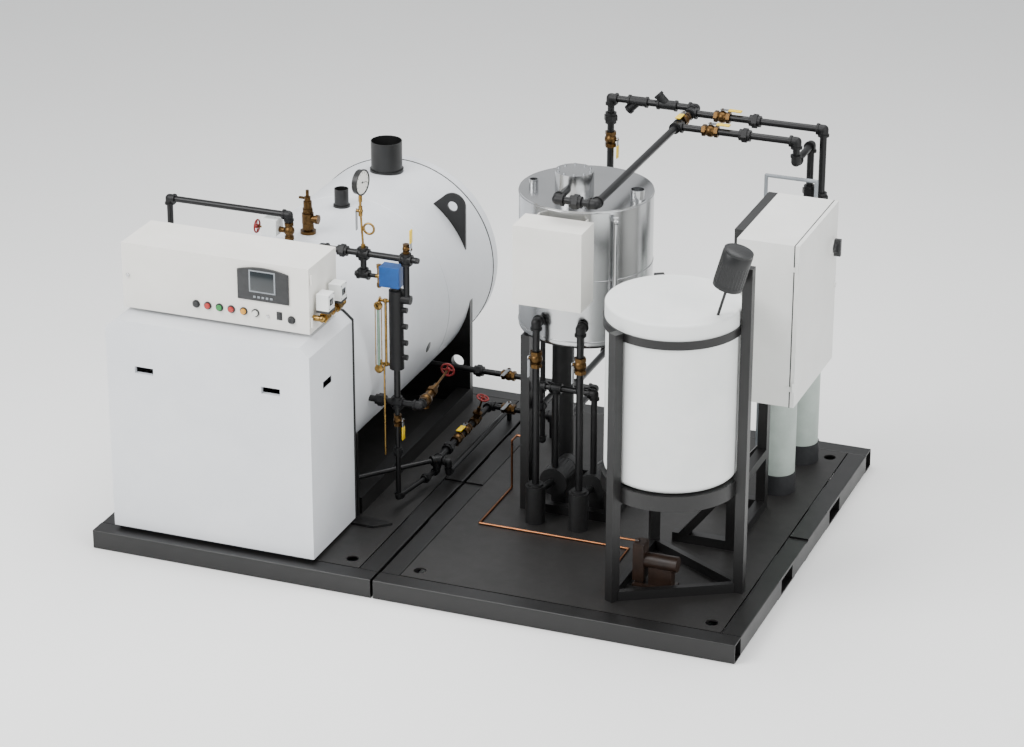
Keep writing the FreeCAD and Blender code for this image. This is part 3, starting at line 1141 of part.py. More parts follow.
def build_cabinet():
    """The electrical cabinet with its door, rotary switch and hinges."""
    high_x = CABINET_X + CABINET_DEPTH
    high_y = CABINET_Y + CABINET_WIDTH
    case = open_case(V(CABINET_X, CABINET_Y, CABINET_BOTTOM), V(high_x, high_y, CABINET_TOP), X_AXIS)
    door_x = high_x + DOOR_SEAL
    hinge_x = door_x + CABINET_DOOR - HINGE_R - 1
    hinge_y = CABINET_Y - HINGE_R - 1
    heights = (CABINET_BOTTOM + 110, CABINET_TOP - 110)
    fixed, moving = hinge_pair(hinge_x, hinge_y, heights,
                               ((high_x - 20, CABINET_Y - HINGE_PIN, 0), (hinge_x, CABINET_Y, 0)),
                               ((hinge_x, hinge_y, 0), (hinge_x + HINGE_PIN, CABINET_Y + 1, 0)))
    add("cabinet_body", fuse([case] + fixed))
    panel = box(V(door_x, CABINET_Y, CABINET_BOTTOM), V(door_x + CABINET_DOOR, high_y, CABINET_TOP))
    face = door_x + CABINET_DOOR
    switch = V(face, high_y - 76, CABINET_TOP - 219)
    latch = V(face, high_y - 34, CABINET_TOP - 437)
    plate = rod(switch, switch + X_AXIS * 8, 42)
    spindle = rod(switch, switch + X_AXIS * 20, 8)
    catch = rod(latch, latch + X_AXIS * 12, 11)
    add("cabinet_door", fuse([panel, plate, spindle, catch] + moving))
    knob = fuse([rod(switch + X_AXIS * 8.5, switch + X_AXIS * 26, 30),
                 box(switch + V(8.5, -11, -44), switch + V(42, 11, 44))])
    add("disconnect_handle", knob.cut(rod(switch, switch + X_AXIS * 20.5, 8 + PIN_PLAY)))
    return hinge_x, hinge_y, switch


# ================================================================ overhead pipes


def build_overhead():
    """The high-level lines from the feed line to the dome and the softener heads."""
    z = OVERHEAD_Z
    down = V(0, 0, -1)
    back_corner = V(BACK_DROP_X, BACK_RUN_Y, z)
    riser_valve = V(BACK_DROP_X, BACK_RUN_Y, z - 233)
    upper_tee = V(OVERHEAD_X, UPPER_RUN_Y, z)
    link = V(OVERHEAD_X, (UPPER_RUN_Y + LOWER_RUN_Y) / 2, z)
    front_tee = V(OVERHEAD_X, LOWER_RUN_Y, z)
    dome = rod(V(TANK_X - 11, TANK_Y + DOME_DY, TANK_TOP), V(TANK_X - 11, TANK_Y + DOME_DY, z + 200), DOME_R)
    radius = OVERHEAD_R
    pipe_line(radius, [
        (V(BACK_DROP_X, FEED_Y + PIPE_R * REACH, FEED_Z), "open"),
        (V(BACK_DROP_X, BACK_RUN_Y, FEED_Z), "elbow"),
        (riser_valve, "valve", (X_AXIS,)),
        (V(BACK_DROP_X, BACK_RUN_Y, z - 111), "union"),
        (back_corner, "elbow"),
        (V(BACK_DROP_X + 155, BACK_RUN_Y, z), "strainer", (V(-1, 0, -1),)),
        (V(BACK_DROP_X + 320, BACK_RUN_Y, z), "strainer", (V(-1, 0, 1),)),
        (V(OVERHEAD_X, BACK_RUN_Y, z), "elbow"),
        (upper_tee, "tee", (X_AXIS,)),
        (link, "valve", (Z_AXIS,)),
        (front_tee, "tee", (X_AXIS,)),
        (V(OVERHEAD_X, DOME_PIPE_Y, z), "elbow"),
        (V((OVERHEAD_X + DOME_PIPE_X) / 2, DOME_PIPE_Y, z), "union"),
        (V(DOME_PIPE_X, DOME_PIPE_Y, z), "elbow"),
        (V(DOME_PIPE_X, TANK_Y + DOME_DY, z), "open")], trim=dome)
    head = SOFTENER_SPOTS[1]
    rear = head[1] - 60 + SOFTENER_HEAD[1]
    port_z = SOFTENER_TOP + 20 + SOFTENER_HEAD[2] / 2
    mouth = X_AXIS * (radius * REACH)
    upper_valve = V(OVERHEAD_X + 178, UPPER_RUN_Y, z)
    lower_valve = V(OVERHEAD_X + 188, LOWER_RUN_Y, z)
    pipe_line(radius, [
        (upper_tee + mouth, "open"),
        (upper_valve, "valve", (Z_AXIS,)),
        (V(OVERHEAD_X + 360, UPPER_RUN_Y, z), "union"),
        (V(RIGHT_DROP_X, UPPER_RUN_Y, z), "elbow"),
        (V(RIGHT_DROP_X, UPPER_RUN_Y, z - 380), "union"),
        (V(RIGHT_DROP_X, UPPER_RUN_Y, port_z), "elbow"),
        (V(RIGHT_DROP_X, rear, port_z), "open")])
    pipe_line(radius, [
        (front_tee + mouth, "open"),
        (lower_valve, "valve", (Z_AXIS,)),
        (V(OVERHEAD_X + 378, LOWER_RUN_Y, z), "union"),
        (V(LEFT_DROP_X, LOWER_RUN_Y, z), "elbow"),
        (V(LEFT_DROP_X, LOWER_RUN_Y, z - OFFSET_DROP), "elbow"),
        (V(LEFT_DROP_X, LEFT_DROP_Y, z - OFFSET_DROP), "elbow"),
        (V(LEFT_DROP_X, LEFT_DROP_Y, z - 365), "union"),
        (V(LEFT_DROP_X, LEFT_DROP_Y, port_z), "elbow"),
        (V(LEFT_DROP_X, rear, port_z), "open")])
    add("riser_lever", ball_valve_lever(riser_valve, X_AXIS, down, radius))
    add("link_lever", ball_valve_lever(link, Z_AXIS, V(0, -1, 0), radius))
    add("upper_run_lever", ball_valve_lever(upper_valve, Z_AXIS, X_AXIS, radius))
    add("lower_run_lever", ball_valve_lever(lower_valve, Z_AXIS, X_AXIS, radius))
    return riser_valve, link, upper_valve, lower_valve


def build_all():
    """Every part of the plant, and the pivots that its moving pieces turn on."""
    pivots = {}
    build_skid()
    build_casing()
    pivots["control_door"] = V(*build_control_box(), BOX_BOTTOM)
    build_door_controls()
    build_gas_train()
    build_boiler()
    build_lug()
    pivots["steam_handwheel"] = build_crest()
    cross, tee, lower_tee = build_column()
    pivots["blow_handwheel"], _ = build_blow_valve()
    pivots["gauge_cock_lever"] = build_gauge(cross)
    pivots["column_vent_lever"], pivots["column_drain_lever"] = build_column_trim(tee, lower_tee)
    pivots["feed_line_lever"], pivots["low_feed_lever"], pivots["feed_handwheel"] = build_low_lines()
    pivots["high_feed_lever"] = build_feed_line()
    build_feed_tank()
    build_feed_box()
    first, second = build_suction_side()
    for name, valve in (("suction_lever_1", first), ("suction_lever_2", second)):
        add(name, ball_valve_lever(valve, V(-1, 0, 0), V(0, 0, -1), OVERHEAD_R))
        pivots[name] = valve
    build_chem_tank(build_injection())
    build_softener()
    build_rack()
    hinge_x, hinge_y, switch = build_cabinet()
    pivots["cabinet_door"] = V(hinge_x, hinge_y, CABINET_BOTTOM)
    pivots["disconnect_handle"] = switch
    names = ("riser_lever", "link_lever", "upper_run_lever", "lower_run_lever")
    for name, point in zip(names, build_overhead()):
        pivots[name] = point
    return pivots


def export(pivots):
    """Move everything to the skid's middle and write one file per node."""
    os.makedirs("parts", exist_ok=True)
    shift = V(-SKID_LENGTH / 2, -SKID_DEPTH / 2, 0)
    for name, shapes in sorted(nodes.items()):
        solids = []
        for shape in shapes:
            solids.extend(shape.Solids)
        whole = solids[0] if len(solids) == 1 else Part.makeCompound(solids)
        whole.translate(shift)
        whole.exportStep("parts/" + name + ".step")
        size = whole.BoundBox
        print(name, len(solids), "solids", round(size.XMin), round(size.YMin), round(size.ZMin),
              round(size.XMax), round(size.YMax), round(size.ZMax))
    for name, point in sorted(pivots.items()):
        place = point + shift
        print("pivot", name, round(place.x, 2), round(place.y, 2), round(place.z, 2))
    print(len(nodes), "nodes")


export(build_all())
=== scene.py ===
# %% [markdown]
# # A packaged boiler plant, finished for the eye
#
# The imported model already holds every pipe, vessel and frame of the plant at its real place.
# This lesson puts a finish on each of them, adds the small things that make steelwork look
# built (dials, buttons, bolts, grips, fins and seams), and sets the studio around it.

# %% Load the frame and keep its box
import json
import math

import bmesh
import bpy
import numpy as np
from mathutils import Matrix, Vector


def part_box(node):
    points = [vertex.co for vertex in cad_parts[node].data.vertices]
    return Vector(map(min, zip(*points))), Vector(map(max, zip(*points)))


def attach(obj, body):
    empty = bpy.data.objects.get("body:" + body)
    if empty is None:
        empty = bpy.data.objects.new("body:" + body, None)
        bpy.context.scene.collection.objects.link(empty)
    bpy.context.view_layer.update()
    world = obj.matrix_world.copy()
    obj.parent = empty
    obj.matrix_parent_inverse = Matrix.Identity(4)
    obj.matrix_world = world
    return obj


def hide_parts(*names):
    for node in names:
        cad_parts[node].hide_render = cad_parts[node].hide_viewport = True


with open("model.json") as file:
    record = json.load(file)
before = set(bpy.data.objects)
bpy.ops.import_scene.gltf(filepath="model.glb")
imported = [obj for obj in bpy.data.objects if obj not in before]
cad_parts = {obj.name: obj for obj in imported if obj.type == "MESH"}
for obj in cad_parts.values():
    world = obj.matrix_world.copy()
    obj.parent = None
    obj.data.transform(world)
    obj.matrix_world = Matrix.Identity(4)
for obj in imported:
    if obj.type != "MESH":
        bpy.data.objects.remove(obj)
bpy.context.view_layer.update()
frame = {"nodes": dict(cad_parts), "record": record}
nodes = frame["nodes"]
ROOT = "plant"

# %% [markdown]
# ## Colour and material helpers
#
# Paint makers give colours as sRGB hex values, but light adds up in linear numbers, so one
# function turns the one into the other. A second small function adds any node to a material's
# tree with its settings and links, which keeps each material below readable as a recipe.

# %% Colour and node helpers
def linear(hex_code):
    """sRGB hex to linear: each channel c becomes ((c + 0.055) / 1.055) to the power 2.4."""
    channels = [int(hex_code[i:i + 2], 16) / 255 for i in (1, 3, 5)]
    return [c / 12.92 if c <= 0.04045 else ((c + 0.055) / 1.055) ** 2.4 for c in channels] + [1.0]


def put(tree, kind, settings=None, links=None):
    """Add one node, set its sockets or properties by name, and link its inputs."""
    node = tree.nodes.new(kind)
    for key, value in (settings or {}).items():
        if key in node.inputs:
            node.inputs[key].default_value = value
        else:
            setattr(node, key, value)
    for key, source in (links or {}).items():
        tree.links.new(source, node.inputs[key])
    return node


PAINT_IOR = 1.5


def finish(name, tone, roughness, metallic=0.0, second=None, patch_mm=120.0, share=0.5,
           grain_mm=3.0, bump=0.1, stretch=(1, 1, 1), coat=0.0, rough_swing=0.08):
    """A surface whose colour drifts between two tones in soft patches, with a fine relief.

    patch_mm is the size of the drifting patches and grain_mm that of the relief, both turned
    into a noise scale as 1000 divided by the size. stretch draws the grain out along an axis.
    """
    material = bpy.data.materials.new(name)
    material.use_nodes = True
    tree = material.node_tree
    tree.nodes.clear()
    place = put(tree, "ShaderNodeTexCoord").outputs["Object"]
    drawn = put(tree, "ShaderNodeMapping", {"Scale": stretch}, {"Vector": place}).outputs["Vector"]
    patches = put(tree, "ShaderNodeTexNoise", {"Scale": 1000 / patch_mm, "Detail": 6.0, "Roughness": 0.62},
                  {"Vector": place})
    grain = put(tree, "ShaderNodeTexNoise", {"Scale": 1000 / grain_mm, "Detail": 3.0}, {"Vector": drawn})
    ramp = put(tree, "ShaderNodeValToRGB", {}, {"Fac": patches.outputs["Fac"]})
    ramp.color_ramp.elements[0].position = 0.5 - share * 0.35
    ramp.color_ramp.elements[1].position = 0.5 + share * 0.35
    ramp.color_ramp.elements[0].color = linear(second or tone)
    ramp.color_ramp.elements[1].color = linear(tone)
    rough = put(tree, "ShaderNodeMapRange",
                {"To Min": max(0.02, roughness - rough_swing), "To Max": roughness + rough_swing},
                {"Value": patches.outputs["Fac"]})
    relief = put(tree, "ShaderNodeBump", {"Strength": bump, "Distance": 0.001},
                 {"Height": grain.outputs["Fac"]})
    shader = put(tree, "ShaderNodeBsdfPrincipled", {"Metallic": metallic, "Coat Weight": coat,
                                                    "Coat Roughness": 0.15},
                 {"Base Color": ramp.outputs["Color"], "Roughness": rough.outputs["Result"],
                  "Normal": relief.outputs["Normal"]})
    if metallic < 0.5:
        shader.inputs["IOR"].default_value = PAINT_IOR
    put(tree, "ShaderNodeOutputMaterial", {}, {"Surface": shader.outputs["BSDF"]})
    return material


# %% [markdown]
# ## The finishes
#
# Structural steel here is sprayed with semi-gloss alkyd paint, so it is nearly black with dusty,
# duller patches where feet and tools pass. Jackets and cabinets are powder coated: a faint
# orange-peel relief a few millimetres wide breaks up the highlights. Pipe keeps its mill
# lacquer, malleable fittings are cast in sand and stay rough, and valves are cast bronze.

# %% Painted steel
# Sprayed paint over tube: near black, a soft sheen, and duller patches a hand wide.
frame_paint = finish("alkyd enamel on structural steel", "#0c0c0c", 0.38, second="#151414",
                     patch_mm=260, share=0.9, grain_mm=4, bump=0.18)
# Walked-on paint: greyer and drier than the frame, with scuffs that spread the highlight.
deck_paint = finish("worn alkyd enamel on deck plate", "#161615", 0.50, second="#211f1e",
                    patch_mm=190, share=1.0, grain_mm=6, bump=0.25, rough_swing=0.14)
# Cool white powder coat: even, half matt, with a fine orange peel in the highlight.
jacket_grey = finish("powder coated jacket sheet", "#e3e5e8", 0.40, second="#d9dce0",
                     patch_mm=420, grain_mm=2.5, bump=0.05)
# Textured powder coat: the same white, slightly drier, so edges read by shade alone.
cabinet_grey = finish("textured powder coat on cabinet steel", "#e4e4e1", 0.48, second="#dcdcd8",
                      patch_mm=350, grain_mm=2, bump=0.08)
# Warm white powder coat: separates the control boxes from the cooler jacket.
panel_white = finish("warm white powder coat", "#eceae4", 0.44, second="#e4e2db",
                     patch_mm=300, grain_mm=2.5, bump=0.06)
# Black powder coat: marks the gaps, bands and stack against the white sheet. On the gaps it is painted shade: black
# put where the shadow inside each gap falls.
black_coat_and_gap_shade = finish("black powder coat and painted gap shade", "#0e0e0e", 0.42, second="#151515", patch_mm=90, bump=0.08)
# Stoved enamel: the one strong blue, with a tight highlight.
blue_enamel = finish("blue stove enamel", "#17529a", 0.38, second="#13457f", patch_mm=60, bump=0.08)
# Brushed-on enamel over a casting: dull red, with the casting showing through.
red_enamel = finish("red enamel on cast wheel", "#8c1f1f", 0.45, second="#741818",
                    patch_mm=25, bump=0.2)
# Black enamel over cast fins: sharp lines of light along each fin.
motor_enamel = finish("black enamel on cast motor", "#0b0c0d", 0.36, second="#131415",
                      patch_mm=60, bump=0.22)
# Dark brown enamel on a pressed shell: nearly black until light falls on it.
brown_enamel = finish("brown enamel on motor shell", "#2b1c13", 0.42, second="#20150f",
                      patch_mm=50, bump=0.2)

# %% Metals
# Lacquered pipe: dark, with a long soft highlight and blotches of thicker lacquer.
mill_pipe = finish("lacquered black steel pipe", "#161617", 0.36, metallic=0.35, second="#0e0e0f",
                   patch_mm=70, share=0.9, grain_mm=2.5, bump=0.12)
# Sand-cast fittings: rougher and grainier than the pipes they join.
malleable_iron = finish("sand-cast malleable iron", "#19191a", 0.48, metallic=0.35, second="#101011",
                        patch_mm=30, share=0.9, grain_mm=1.6, bump=0.4)
# Painted castings: matt, pitted, almost no highlight.
cast_iron = finish("painted cast iron", "#141415", 0.48, metallic=0.1, second="#1c1c1c",
                   patch_mm=40, grain_mm=2, bump=0.35)
# Cast bronze left in the air: brown in the hollows, gold on the rounds.
cast_bronze = finish("sand-cast bronze", "#6a5030", 0.36, metallic=1.0, second="#473521",
                     patch_mm=22, share=0.9, grain_mm=1.2, bump=0.25)
# Machined brass: brighter and smoother than the castings beside it.
turned_brass = finish("turned brass", "#a9884c", 0.28, metallic=1.0, second="#83673a",
                      patch_mm=30, grain_mm=1.2, bump=0.08)
# Rolled sheet brushed one way: long vertical streaks in mirror-like patches.
stainless = finish("brushed stainless sheet", "#c4c5c6", 0.24, metallic=1.0, second="#b4b5b6",
                   patch_mm=240, share=1.0, grain_mm=9, bump=0.06, stretch=(1, 1, 24), rough_swing=0.07)
# Zinc plate: pale grey metal with fine crystal grain.
zinc = finish("zinc plated steel", "#a9abad", 0.34, metallic=1.0, second="#93969a",
              patch_mm=15, grain_mm=1.2, bump=0.08)
# Drawn tube: warm metal that darkens in patches where it was handled.
copper = finish("drawn copper tube", "#a8714e", 0.3, metallic=1.0, second="#80533a",
                patch_mm=60, share=0.9, grain_mm=2, bump=0.06)
# Polished steel: a near mirror that picks out small rims.
polished_steel = finish("polished steel bezel", "#c8c9ca", 0.16, metallic=1.0,
                        patch_mm=60, bump=0.02)

# %% Plastics, rubber and glass
# Rotomoulded plastic: white, waxy and slightly uneven.
white_plastic = finish("white rotomoulded polyethylene", "#eceeec", 0.46, second="#e2e5e3",
                       patch_mm=260, grain_mm=3, bump=0.12, rough_swing=0.05)
# Extruded PVC: flat grey with a faint sheen.
grey_plastic = finish("grey PVC conduit", "#8b9094", 0.5, second="#7d8286", patch_mm=80, bump=0.06)
# Wound glass fibre in resin: pale green-grey with ribs that run round the tank.
resin_tank = finish("filament-wound resin tank", "#aab5ae", 0.45, second="#9da8a1",
                    patch_mm=90, grain_mm=7, bump=0.25, stretch=(1, 1, 4))
# Moulded ABS: dark grey rather than black, with a fine spark texture.
black_plastic = finish("black ABS moulding", "#232425", 0.42, second="#2a2b2c",
                       patch_mm=30, bump=0.12)
# Moulded rubber: the driest black here.
boot_rubber = finish("black rubber boot", "#1d1e20", 0.6, second="#242527", patch_mm=40, bump=0.2)
# Dipped vinyl: clean yellow with a thin wet-looking skin.
yellow_vinyl = finish("yellow dipped vinyl", "#f0cc0a", 0.4, second="#e2bb06",
                      patch_mm=20, bump=0.08, coat=0.2)
# Display glass: dark and glossy, so it mirrors the studio.
screen_black = finish("dark display glass", "#0c1418", 0.12, second="#101b20",
                      patch_mm=60, bump=0.0, coat=0.6)
# Moulded lenses: saturated colour under a glossy skin, in the four tones below too.
green_lens = finish("green push button lens", "#178a3c", 0.3, second="#13742f",
                    patch_mm=10, bump=0.02, coat=0.4)
red_lens = finish("red push button lens", "#b3231d", 0.3, second="#971b16",
                  patch_mm=10, bump=0.02, coat=0.4)
amber_lens = finish("amber push button lens", "#d99a1b", 0.3, second="#c08516",
                    patch_mm=10, bump=0.02, coat=0.4)
clear_lens = finish("white push button lens", "#e6e6e0", 0.3, second="#dadad4",
                    patch_mm=10, bump=0.02, coat=0.4)
# Printed card: flat white behind the bezel.
dial_white = finish("printed white dial card", "#f1f0ea", 0.5, second="#ecebe4",
                    patch_mm=40, bump=0.02)
# Boiler glass over water: a cool green with a bright edge.
gauge_glass = finish("red-lined gauge glass", "#7fa08c", 0.1, second="#6d8f7a",
                     patch_mm=40, bump=0.0, coat=0.8)

# %% [markdown]
# ## A finish on each CAD node
#
# The table below lists which finish each node takes. A node keeps its mesh: only its material slots
# change, so the shape stays exactly what the other tools measure.

# %% Give every node its finish
node_finish = {
    frame_paint: ("skid_long_tubes", "skid_side_tubes", "fork_pocket_plates", "boiler_supports",
                  "lifting_lug", "stand_posts", "stand_rails", "chem_stand_rails"),
    deck_paint: ("deck_plates",),
    jacket_grey: ("boiler_shell", "boiler_heads", "casing_front", "casing_wrap"),
    cabinet_grey: ("cabinet_body", "cabinet_door"),
    panel_white: ("control_box", "control_door", "feed_control_box"),
    # Painted shade: the black back frame also stands for the shaded gap behind the casing, and the black floor
    # inside the stack and vent stands for the dark open flue.
    black_coat_and_gap_shade: ("casing_back_frame", "stack_and_vent"),
    mill_pipe: ("pipe_runs",),
    malleable_iron: ("pipe_fittings", "level_vessel"),
    cast_bronze: ("valve_bodies", "safety_valve"),
    turned_brass: ("brass_trim", "gas_train"),
    stainless: ("feed_tank_shell", "feed_tank_ends"),
    white_plastic: ("chem_tank", "chem_tank_lid", "valve_actuators"),
    grey_plastic: ("drain_tube",),
    resin_tank: ("softener_tanks",),
    boot_rubber: ("softener_heads_and_boots",),
    blue_enamel: ("level_control",),
    red_enamel: ("steam_handwheel", "blow_handwheel", "feed_handwheel"),
    zinc: ("column_drain_lever", "column_vent_lever", "feed_line_lever", "riser_lever", "link_lever",
           "upper_run_lever", "lower_run_lever", "gauge_cock_lever", "low_feed_lever", "high_feed_lever",
           "suction_lever_1", "suction_lever_2"),
    black_plastic: ("disconnect_handle", "door_controls"),
    polished_steel: ("pressure_gauge",),
    cast_iron: ("feed_pumps",),
    motor_enamel: ("agitator",),
    brown_enamel: ("dosing_pump",),
    copper: ("copper_tube",),
}
for material, names in node_finish.items():
    for name in names:
        mesh = nodes[name].data
        mesh.materials.clear()
        mesh.materials.append(material)
finished = [name for names in node_finish.values() for name in names]
print("nodes without a finish:", sorted(set(nodes) - set(finished)))

# %% [markdown]
# ## Surfaces from numbers
#
# Every new piece below is a grid of points: one direction runs along a path or around an axis,
# the other around a profile. The helper joins each point to its neighbours to make four-sided
# faces, closes the grid where it wraps, and caps it where it ends.

# %% Grid meshes
def grid_faces(rows, columns, wrap_rows=False, wrap_columns=True, start=0):
    """Four-sided faces of a rows by columns grid: corner (i, j) is vertex i * columns + j."""
    i = np.arange(rows if wrap_rows else rows - 1)[:, None]
    j = np.arange(columns if wrap_columns else columns - 1)[None, :]
    i_next = (i + 1) % rows
    j_next = (j + 1) % columns
    corners = np.stack(np.broadcast_arrays(i * columns + j, i * columns + j_next,
                                           i_next * columns + j_next, i_next * columns + j), axis=-1)
    return (corners.reshape(-1, 4) + start).tolist()


def piece(name, points, faces, material, body=ROOT, smooth=True, slot=None):
    """Put points and faces into a mesh, make its faces point outwards, and ride it on a body."""
    mesh = bpy.data.meshes.new(name)
    mesh.from_pydata(np.asarray(points, float).reshape(-1, 3).tolist(), [], faces)
    mesh.validate()
    bpy_object = bpy.data.objects.new(name, mesh)
    bpy.context.scene.collection.objects.link(bpy_object)
    work = bmesh.new()
    work.from_mesh(mesh)
    bmesh.ops.remove_doubles(work, verts=work.verts, dist=1e-6)
    bmesh.ops.recalc_face_normals(work, faces=work.faces)
    work.to_mesh(mesh)
    work.free()
    mesh.materials.append(material)
    if smooth:
        mesh.polygons.foreach_set("use_smooth", [True] * len(mesh.polygons))
        mesh.set_sharp_from_angle(angle=math.radians(38))
    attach(bpy_object, body)
    return bpy_object


def axes_about(axis):
    """Two unit directions at right angles to an axis and to each other."""
    axis = np.asarray(axis, float) / np.linalg.norm(axis)
    side = np.cross(axis, [0, 0, 1.0])
    if np.linalg.norm(side) < 0.1:
        side = np.array([1.0, 0, 0])
    side = side / np.linalg.norm(side)
    return axis, side, np.cross(axis, side)


def turned(profile, centre, axis, steps=48, flutes=0, depth=0.0):
    """A profile of (height, radius) pairs turned about an axis: point = centre + height * axis
    + radius * (cos t * side + sin t * other). Flutes make the radius swing by depth."""
    profile = np.asarray(profile, float)
    axis, side, other = axes_about(axis)
    t = np.linspace(0, 2 * np.pi, steps, endpoint=False)
    swing = 1 + depth * np.cos(flutes * t) if flutes else np.ones_like(t)
    ring = np.cos(t)[:, None] * side + np.sin(t)[:, None] * other
    radius = profile[:, 1][:, None] * np.where(profile[:, 1][:, None] > 1e-6, swing[None, :], 0)
    points = np.asarray(centre, float) + profile[:, 0][:, None, None] * axis + radius[:, :, None] * ring[None]
    return points.reshape(-1, 3), grid_faces(len(profile), steps)


def joined(parts):
    """Several (points, faces) pairs as one pair, with the face numbers moved along."""
    points, faces, start = [], [], 0
    for part_points, part_faces in parts:
        points.append(np.asarray(part_points).reshape(-1, 3))
        faces += [[corner + start for corner in face] for face in part_faces]
        start += len(points[-1])
    return np.vstack(points), faces


def domed_disc(radius, height, edge=0.15):
    """A button's or bolt head's profile: straight side, rounded edge and slightly domed top."""
    return [(0, 0), (0, radius), (height * (1 - edge * 2), radius), (height * (1 - edge * 0.6), radius * 0.96),
            (height, radius * 0.86), (height * 1.02, radius * 0.5), (height * 1.03, 0)]


def slab(low, high, edge=0.002):
    """A block with bevelled edges: each of its six faces is inset by the edge and joined to its
    neighbours. Worked out as a rounded box, sign * (half - edge) plus edge * the unit direction."""
    low, high = np.asarray(low, float), np.asarray(high, float)
    centre, half = (low + high) / 2, (high - low) / 2
    edge = min(edge, *(half * 0.98))
    u = np.linspace(0, 2 * np.pi, 24, endpoint=False) + np.pi / 24
    v = np.linspace(-np.pi / 2, np.pi / 2, 8)
    direction = np.stack([np.cos(v)[:, None] * np.cos(u)[None], np.cos(v)[:, None] * np.sin(u)[None],
                          np.repeat(np.sin(v)[:, None], 24, axis=1)], axis=-1)
    sign = np.where(direction >= 0, 1.0, -1.0)
    points = centre + sign * (half - edge) + direction * edge
    caps = [list(range(24)), list(range(7 * 24, 8 * 24))]
    return points.reshape(-1, 3), grid_faces(8, 24) + caps


def swept(path, radius, steps=16, closed=False, guide=(0, 0, 1.0)):
    """A round tube along a path: each ring is the path's point plus radius times a circle drawn
    at right angles to the path's direction there. The guide is a direction that the path never
    runs along, such as the axis of a ring, and sets where each circle starts."""
    path = np.asarray(path, float)
    along = np.gradient(path, axis=0)
    if closed:
        along = np.roll(path, -1, axis=0) - np.roll(path, 1, axis=0)
    along /= np.linalg.norm(along, axis=1)[:, None]
    side = np.cross(along, np.asarray(guide, float))
    side /= np.linalg.norm(side, axis=1)[:, None]
    other = np.cross(along, side)
    t = np.linspace(0, 2 * np.pi, steps, endpoint=False)
    ring = np.cos(t)[None, :, None] * side[:, None] + np.sin(t)[None, :, None] * other[:, None]
    points = path[:, None] + radius * ring
    faces = grid_faces(len(path), steps, wrap_rows=closed)
    if not closed:
        faces += [list(range(steps)), list(range((len(path) - 1) * steps, len(path) * steps))]
    return points.reshape(-1, 3), faces


# %% [markdown]
# ## Places
#
# The plant is laid out from the skid's front left corner in millimetres, and the model's origin
# is in the middle of the skid, so one function turns a layout place into a scene place. Boxes
# read from the CAD nodes keep each new piece on the part that carries it.

# %% Layout to scene
SKID = (3.468, 2.440)


def at(x, y, z):
    """Layout millimetres to scene metres: divide by 1000 and subtract half the skid."""
    return np.array([x / 1000 - SKID[0] / 2, y / 1000 - SKID[1] / 2, z / 1000])


def corner(node, high):
    """A node's lowest or highest corner as an array."""
    return np.array(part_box(node)[1 if high else 0])


# %% [markdown]
# ## The operator's door
#
# The door of the control box carries an arched bezel around a dark screen, a row of round push
# buttons, a rocker, a selector knob and a lock. The plain solids that stand for them give way to
# an extruded arch with a softened front edge and to turned pieces with domed faces.

# %% An extruded outline with a softened edge
def plate(outline, depth, edge=0.003):
    """An outline carried along a depth vector: rings at the back, short of the front, and at the
    front, where the outline is scaled about its centre by 1 - edge / its mean radius."""
    outline = np.asarray(outline, float)
    depth = np.asarray(depth, float)
    centre = outline.mean(axis=0)
    shrink = 1 - edge / np.linalg.norm(outline - centre, axis=1).mean()
    shorter = depth * (1 - edge / np.linalg.norm(depth))
    rings = np.stack([outline, outline + shorter, centre + (outline - centre) * shrink + depth])
    count = len(outline)
    caps = [list(range(count)), list(range(2 * count, 3 * count))]
    return rings.reshape(-1, 3), grid_faces(3, count) + caps


def arch(x_low, x_high, z_low, z_high, y, rise, steps=24):
    """A rectangle whose top bulges: height = z_high + rise * (1 - u squared), u from -1 to 1."""
    u = np.linspace(-1, 1, steps)
    half = (x_high - x_low) / 2
    top = np.stack([(x_low + x_high) / 2 - u * half, np.full(steps, y), z_high + rise * (1 - u ** 2)], axis=1)
    return np.vstack([[x_low, y, z_low], [x_high, y, z_low], top])


# %% Bezel, screen and buttons
DOOR_FACE = 192.0
FRONT = np.array([0, -1.0, 0])
bezel_line = arch(784, 1062, 1440, 1597, DOOR_FACE, 20)
bezel = piece("screen_bezel", *plate(np.array([at(*place) for place in bezel_line]), FRONT * 0.012, 0.004),
              black_plastic, "control_door", slot="control")
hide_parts("door_controls")
piece("screen_rim", *slab(at(850, DOOR_FACE - 14, 1486), at(994, DOOR_FACE - 11, 1603), 0.0015),
      grey_plastic, "control_door", slot="control")
piece("screen", *slab(at(858, DOOR_FACE - 15, 1494), at(986, DOOR_FACE - 13.5, 1597), 0.0007),
      screen_black, "control_door", slot="control")
key_rows = [slab(at(872 + 23 * k, DOOR_FACE - 15, 1457), at(886 + 23 * k, DOOR_FACE - 11, 1468), 0.0012)
            for k in range(5)]
piece("screen_keys", *joined(key_rows), grey_plastic, "control_door", slot="control")

BUTTON_Z = 1372.0
lenses = ((550, black_plastic, "black"), (614, red_lens, "red"), (679, green_lens, "green"),
          (744, red_lens, "stop"), (812, amber_lens, "amber"), (877, clear_lens, "white"))
BUTTON_PLACES = [x for x, _, _ in lenses]
for x, lens, word in lenses:
    piece("button_" + word, *turned(domed_disc(0.0150, 0.017), at(x, DOOR_FACE, BUTTON_Z), FRONT, 32), lens,
          "control_door", slot="control")
collar = [(0, 0), (0, 0.0205), (0.005, 0.0205), (0.007, 0.0190), (0.007, 0.0142), (0.0065, 0)]
piece("button_collars", *joined([turned(collar, at(x, DOOR_FACE, BUTTON_Z), FRONT, 36)
                                 for x in BUTTON_PLACES]),
      black_plastic, "control_door", slot="control")
piece("key_switch", *joined([turned(domed_disc(0.008, 0.008), at(944, DOOR_FACE, 1364), FRONT, 28),
                             turned(domed_disc(0.010, 0.010), at(173, DOOR_FACE, 1473), FRONT, 28)]),
      polished_steel, "control_door", slot="control")
